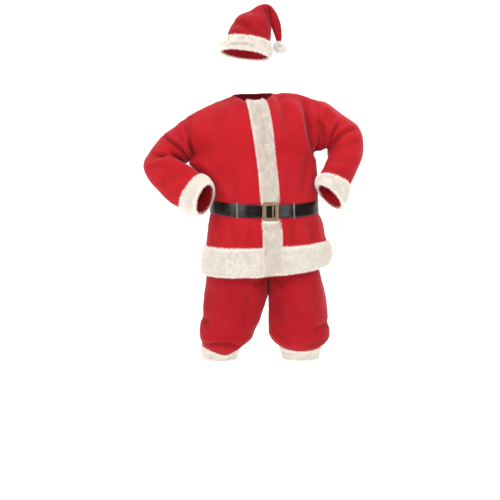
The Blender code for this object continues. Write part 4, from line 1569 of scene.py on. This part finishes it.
@dataclass
class Belt:
    """The vinyl strap round the waist, with an edge stitch, and the keeper loops over it."""

    flat: tuple[float, float] = (0.058, 1.36)
    levels: int = 2
    wrinkle: float = 0.8
    wrinkle_length: float = 70.0
    edge_crease: float = 0.6
    stitch_inset: float = 5.0
    stitch_pitch: float = 6.5
    stitch_length: float = 4.6
    stitch_width: float = 1.1
    rim: float = 3.6
    buckle_side: float = -10.0
    buckle_reach: float = 45.0
    calm: float = 0.4
    wave_seed: int = 5
    places: int = 160
    slice_reach: float = 0.012
    ray_from: float = 0.6
    thread_out: float = 0.1
    loops: tuple[str, ...] = ("belt_loop_left", "belt_loop_right")
    loop_edge: float = 0.5

    def build(self, stitches: Stitches, finish: Material, loop_highlight_finish: Material) -> None:
        """Makes the strap, its stitches and the loops.

        Args:
            stitches: The tree that sews.
            finish: The strap's material.
            loop_highlight_finish: The loops' material.
        """
        solid = merged_copy("belt_strap")
        mark_parts(solid, self.rim * MM)
        join_into_quads(solid)
        hold_edges(solid, self.edge_crease)
        mesh = subdivided(solid, self.levels)
        points, quads, groups = points_of(mesh), quads_of(mesh), groups_of(mesh)
        outer = np.zeros(len(points))
        outer[quads[groups == Part.OUTER.value].ravel()] = 1.0
        away = (points[:, 0] / MM - self.buckle_side) / self.buckle_reach
        near = np.exp(-(away**2)) * (points[:, 1] < 0)
        move = self.wrinkle * MM * waves(points, self.wrinkle_length, self.wave_seed)
        move *= (self.calm + near) * outer
        reshape(mesh, points + normals_at(points, quads) * move[:, None])
        strap = placed_piece("belt_strap.vinyl", mesh, (finish,), Slot.VINYL, "belt_strap")
        sewn = self.stitch(stitches, strap, finish)
        for node in self.loops:
            solid = merged_copy(node)
            join_into_quads(solid)
            mesh = softened(solid, self.loop_edge, 2)
            # The loops' lighter vinyl is a painted highlight
            placed_piece(f"{node}.strip", mesh, (loop_highlight_finish,), Slot.VINYL, node)

    def stitch(self, stitches: Stitches, strap: Object, finish: Material) -> list[Object]:
        """Sews along both long edges of the strap.

        Args:
            stitches: The tree that sews.
            strap: The strap.
            finish: The thread's material.

        Returns:
            The two rows of stitches.
        """
        data = strap.data
        surface = BVHTree.FromPolygons([v.co for v in data.vertices], [p.vertices for p in data.polygons])
        points = points_of(data)
        middle = (points.min(axis=0) + points.max(axis=0)) / 2
        sizes = {"Pitch": self.stitch_pitch, "Length": self.stitch_length, "Width": self.stitch_width}
        values = {name: size * MM for name, size in sizes.items()} | {"Finish": finish}
        made = []
        for name, way in (("upper", 1), ("lower", -1)):
            path = []
            for turn in np.linspace(0, 2 * math.pi, self.places, endpoint=False):
                out = np.array((math.cos(turn), math.sin(turn), 0.0))
                across = np.array((-out[1], out[0], 0.0))
                away = points - middle
                near = points[(np.abs(away @ across) < self.slice_reach) & (away @ out > 0)]
                edge = near[:, 2].max() if way > 0 else near[:, 2].min()
                start = middle + out * self.ray_from
                start[2] = edge - way * self.stitch_inset * MM
                hit = surface.ray_cast(Vector(start), Vector(-out))
                if hit[0] is not None:
                    path.append(np.array(hit[0]) + out * self.thread_out * MM)
            mesh = stitches.sew(f"belt_strap.{name}", np.array(path), values)
            made.append(placed_piece(f"belt_strap.stitches_{name}", mesh, (finish,), Slot.VINYL))
        return made


@dataclass
class Buckle:
    """The cast frame with rows of knobs, and its prong."""

    knob: float = 3.3
    small_knob: float = 2.3
    pitch: float = 6.6
    small_pitch: float = 5.0
    outer_inset: float = 4.6
    inner_inset: float = 12.6
    edge: float = 0.9
    flatness: float = 0.7
    sunk: float = 0.9
    ray_from: float = 0.05

    def build(self, finish: Material) -> None:
        """Makes the frame, its knobs and the prong.

        Args:
            finish: The metal's material.
        """
        for node in ("buckle_frame", "buckle_prong"):
            mesh = softened(merged_copy(node), self.edge, 3)
            placed_piece(f"{node}.bronze", mesh, (finish,), Slot.BRONZE, node)
        self.knobs(finish)

    def knobs(self, finish: Material) -> None:
        """Sets rows of knobs along the frame.

        Args:
            finish: The metal's material.
        """
        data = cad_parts["buckle_frame"].data
        surface = BVHTree.FromPolygons([v.co for v in data.vertices], [p.vertices for p in data.polygons])
        low, high = (np.array(corner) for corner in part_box("buckle_frame"))
        whole = bmesh.new()
        rows = (
            (self.outer_inset, self.knob, self.pitch),
            (self.inner_inset, self.small_knob, self.small_pitch),
        )
        for inset, radius, pitch in rows:
            for x, z in self.round_the_frame(low, high, inset * MM, pitch * MM):
                hit = surface.ray_cast(Vector((x, low[1] - self.ray_from, z)), Vector((0, 1, 0)))
                if hit[0] is None:
                    continue
                made = bmesh.ops.create_icosphere(whole, subdivisions=2, radius=radius * MM)["verts"]
                bmesh.ops.scale(whole, vec=(1, self.flatness, 1), verts=made)
                bmesh.ops.translate(whole, vec=hit[0] + Vector((0, self.sunk * MM, 0)), verts=made)
        mesh = bpy.data.meshes.new("buckle_frame.knobs")
        whole.to_mesh(mesh)
        whole.free()
        placed_piece("buckle_frame.knobs", mesh, (finish,), Slot.BRONZE)

    @staticmethod
    def round_the_frame(
        low: np.ndarray, high: np.ndarray, inset: float, pitch: float
    ) -> list[tuple[float, float]]:
        """Evenly spaced places round a rectangle, seen from the front.

        Args:
            low: The frame's lowest corner.
            high: Its highest corner.
            inset: How far the places lie inside its edge.
            pitch: How far apart they are.

        Returns:
            The places' X and Z.
        """
        left, right, foot, head = low[0] + inset, high[0] - inset, low[2] + inset, high[2] - inset
        across = max(1, round((right - left) / pitch))
        up = max(1, round((head - foot) / pitch))
        spots = [(left + (right - left) * k / across, foot) for k in range(across)]
        spots += [(right, foot + (head - foot) * k / up) for k in range(up)]
        spots += [(right - (right - left) * k / across, head) for k in range(across)]
        spots += [(left, head - (head - foot) * k / up) for k in range(up)]
        return spots


# Studio


@dataclass(frozen=True)
class Lamp:
    """A soft box: its place and aim, its width and height in metres, and its power in watts."""

    name: str
    at: tuple[float, float, float]
    aim: tuple[float, float, float]
    width: float
    height: float
    power: float

    def build(self) -> None:
        """Places the lamp."""
        data = bpy.data.lights.new(self.name, "AREA")
        data.shape = "RECTANGLE"
        data.size = self.width
        data.size_y = self.height
        data.energy = self.power
        made = linked(self.name, data)
        made.location = self.at
        made.rotation_euler = (Vector(self.aim) - Vector(self.at)).to_track_quat("-Z", "Y").to_euler()


@dataclass
class Studio:
    """Camera, pale sweep and soft lights."""

    camera_at: tuple[float, float, float] = (-0.032, -4.6, -0.32)
    pitch: float = 4.35
    lens: float = 72.7
    floor: float = -1.52
    lights: tuple[Lamp, ...] = (
        Lamp("key", (-2.3, -3.2, 0.8), (0.0, 0.0, -0.45), 2.0, 3.2, 84.0),
        Lamp("fill", (3.0, -3.2, 0.6), (0.0, 0.0, -0.5), 1.4, 2.6, 54.0),
        Lamp("top", (0.2, -0.8, 3.1), (0.0, 0.0, 0.0), 2.4, 2.4, 70.0),
        Lamp("back", (1.8, 2.0, 2.2), (0.0, 0.0, -0.2), 1.6, 1.6, 36.0),
    )
    sky: float = 0.76
    horizon: float = 0.05
    sky_from: tuple[float, float] = (0.10, 0.34)
    sweep_front: float = -9.0
    sweep_bend_at: float = 2.5
    sweep_bend: float = 2.5
    sweep_height: float = 9.0
    sweep_half_width: float = 12.0
    sweep_turns: tuple[float, float, int] = (0.1, math.pi / 2, 14)

    def build(self, finish: Material) -> None:
        """Places all of it.

        Args:
            finish: The sweep's material.
        """
        scene = bpy.context.scene
        data = bpy.data.cameras.new("camera")
        data.lens = self.lens
        data.sensor_width = 36.0
        data.clip_end = 60.0
        camera = linked("camera", data)
        camera.location = self.camera_at
        camera.rotation_euler = (math.radians(90 - self.pitch), 0.0, 0.0)
        scene.camera = camera
        self.sweep(finish)
        for lamp in self.lights:
            lamp.build()
        scene.world = self.world()
        scene.view_settings.view_transform = "Standard"

    def world(self) -> bpy.types.World:
        """A pale sky that glossy parts see over a darker horizon, so that they show dark with soft lights.

        Returns:
            The world.
        """
        world = bpy.data.worlds.new("studio")
        world.use_nodes = True
        tree = Tree(world.node_tree)
        way = tree.add("ShaderNodeTexCoord").outputs["Generated"]
        height = tree.math("ABSOLUTE", tree.add("ShaderNodeSeparateXYZ", Vector=way).outputs["Z"])
        light = tree.ranged(height, *self.sky_from, self.horizon, self.sky)
        seen = tree.add("ShaderNodeLightPath").outputs["Is Camera Ray"]
        strength = tree.math("MAXIMUM", light, seen)
        background = tree.add("ShaderNodeBackground", Color=shade((1.0, 1.0, 1.0)), Strength=strength)
        tree.add("ShaderNodeOutputWorld", Surface=background.outputs[0])
        return world

    def sweep(self, finish: Material) -> None:
        """Makes a floor that curves up into a backdrop.

        Args:
            finish: Its material.
        """
        start, bend = self.sweep_bend_at, self.sweep_bend
        profile = [(self.sweep_front, 0.0), (start, 0.0)]
        turns = np.linspace(*self.sweep_turns)
        profile += [(start + bend * math.sin(turn), bend - bend * math.cos(turn)) for turn in turns]
        profile += [(start + bend, self.sweep_height)]
        ends = (-self.sweep_half_width, self.sweep_half_width)
        points = [(x, y, self.floor + z) for y, z in profile for x in ends]
        faces = [(2 * k, 2 * k + 1, 2 * k + 3, 2 * k + 2) for k in range(len(profile) - 1)]
        mesh = bpy.data.meshes.new("sweep")
        mesh.from_pydata(points, [], faces)
        mesh.materials.append(finish)
        mesh.shade_smooth()
        linked("sweep", mesh)


# The suit's pieces

# Places between the legs that the creases leave alone, and how far round them
BETWEEN_LEGS = ((52, -690), (56, -730), (58, -770), (58, -810), (55, -845), (52, -875))
PIN_REACH = 34.0
TROUSER_PANELS = ("front_left", "front_right", "back_left", "back_right")

COAT = Garment(
    cuts=(
        Cut("coat_front_left", 0.42, 0.86, 0.28),
        Cut("coat_front_right", 0.42, 0.86, 0.28),
        Cut("coat_back", 0.72, 0.86, 0.55),
        Cut("sleeve_left", 0.60, 0.52, 0.22),
        Cut("sleeve_right", 0.60, 0.62, 0.26),
    ),
    creases=LEFT_ARM_CREASES
    + RIGHT_ARM_CREASES
    + FRONT_CREASES
    + BACK_CREASES
    + mirrored_back(LEFT_ARM_CREASES, 0.8)
    + mirrored_back(RIGHT_ARM_CREASES, 0.8)
    + UNDER_RIGHT_ARM,
    holders=("belt_strap", "front_band", "hem_band_left", "hem_band_right", "cuff_left", "cuff_right"),
    tuck=5.0,
    tuck_below=-690.0,
)
TROUSERS = Garment(
    cuts=tuple(Cut(f"trouser_{panel}", 0.42, 0.72, 0.24) for panel in TROUSER_PANELS),
    creases=LEG_CREASES + mirrored_back(LEG_CREASES, 0.9),
    holders=("waistband", "leg_cuff_left", "leg_cuff_right", "hem_band_left", "hem_band_right"),
    rests_on="waistband.cloth",
    lap=3.5,
    lap_at=54.0,
    lap_above=-880.0,
    pins=tuple((x, z, PIN_REACH) for x, z in BETWEEN_LEGS),
    seed=8,
)
WAISTBAND = Garment(
    cuts=(Cut("waistband", 0.06, 1.34, 0.08, "stretched"),),
    levels=1,
    drape=0.0,
    ripple=0.0,
)
HAT = Garment(
    cuts=(Cut("hat_crown", 0.66, 0.40, 0.15),),
    creases=HAT_CREASES + mirrored_back(HAT_CREASES[2:6], 0.9),
    holders=("hat_brim",),
    levels=2,
    tuck=3.0,
    tuck_below=262.0,
    drape=1.6,
    drape_length=70.0,
    hold=(3.0, 20.0),
    seed=12,
)
BRIM_CREASES = (
    Crease(((-140, 246), (-110, 248), (-70, 248), (-30, 244), (0, 232)), 6.5, 5.5, (0.0, 0.0), roll=0.3),
)
TRIMS = (
    Strip("front_band", "coat_front_left.cloth", (0.09, 0.84), 0.074, seed=31),
    Hem("hem_band_left", "coat_back.cloth", (0.125, 0.66), 0.078, seed=32),
    Hem("hem_band_right", "coat_back.cloth", (0.125, 0.66), 0.078, seed=33),
    FurTrim("cuff_left", "sleeve_left.cloth", (0.08, 0.46), 0.035, seed=34),
    FurTrim("cuff_right", "sleeve_right.cloth", (0.08, 0.46), 0.035, seed=35),
    FurTrim("leg_cuff_left", "trouser_front_left.cloth", (0.05, 0.50), 0.023, seed=36),
    FurTrim("leg_cuff_right", "trouser_front_right.cloth", (0.05, 0.50), 0.023, seed=37),
    FurTrim("hat_brim", "hat_crown.cloth", (0.08, 0.62), 0.046, creases=BRIM_CREASES, seed=38),
    Pompom(
        "pompom",
        "hat_crown.cloth",
        (0.06, 0.06),
        0.0036,
        Pile(260000.0, 12.0, 2.4, 0.8),
        levels=1,
        sink=8.0,
        edge_hold=0.0,
        clump=2.2,
        seed=39,
    ),
)


def main() -> None:
    logging.basicConfig(level=logging.INFO, format="%(message)s")
    lining = Lining().material()
    coat_red = Plush("coat plush").material()
    # Painted shade: the trousers and hat take darker copies of the coat's plush for how the light falls on
    # them
    trouser_red_in_shade = Plush("trouser plush", (0.36, 0.005, 0.011), (0.27, 0.003, 0.007)).material()
    hat_red_in_shade = Plush("hat plush", (0.34, 0.004, 0.010), (0.25, 0.003, 0.006)).material()
    white = Fur("white fur").material()
    strip_white = Fur("strip fur", (0.94, 0.89, 0.83), (0.86, 0.79, 0.71), (0.76, 0.66, 0.57)).material()
    # Painted light: the pompom takes a lighter copy of the fur to make up for the shade among its locks
    ball_white_lightened = Fur("ball fur", (1.0, 0.98, 0.95), (0.96, 0.92, 0.87), (0.90, 0.83, 0.76)).material()
    vinyl, bronze = Vinyl().material(), Bronze().material()
    for garment, red in ((COAT, coat_red), (TROUSERS, trouser_red_in_shade), (WAISTBAND, trouser_red_in_shade), (HAT, hat_red_in_shade)):
        garment.build(red, lining)
    locks = Locks()
    furs = {Strip: strip_white, Pompom: ball_white_lightened}
    for trim in TRIMS:
        trim.build(locks, furs.get(type(trim), white))
    # Painted highlight: the keeper loops take a lighter copy of the vinyl for the light they catch
    Belt().build(Stitches(), vinyl, Vinyl("keeper vinyl", (0.09, 0.075, 0.07)).material())
    Buckle().build(bronze)
    Studio().build(Paper().material())


if __name__ == "__main__":
    main()
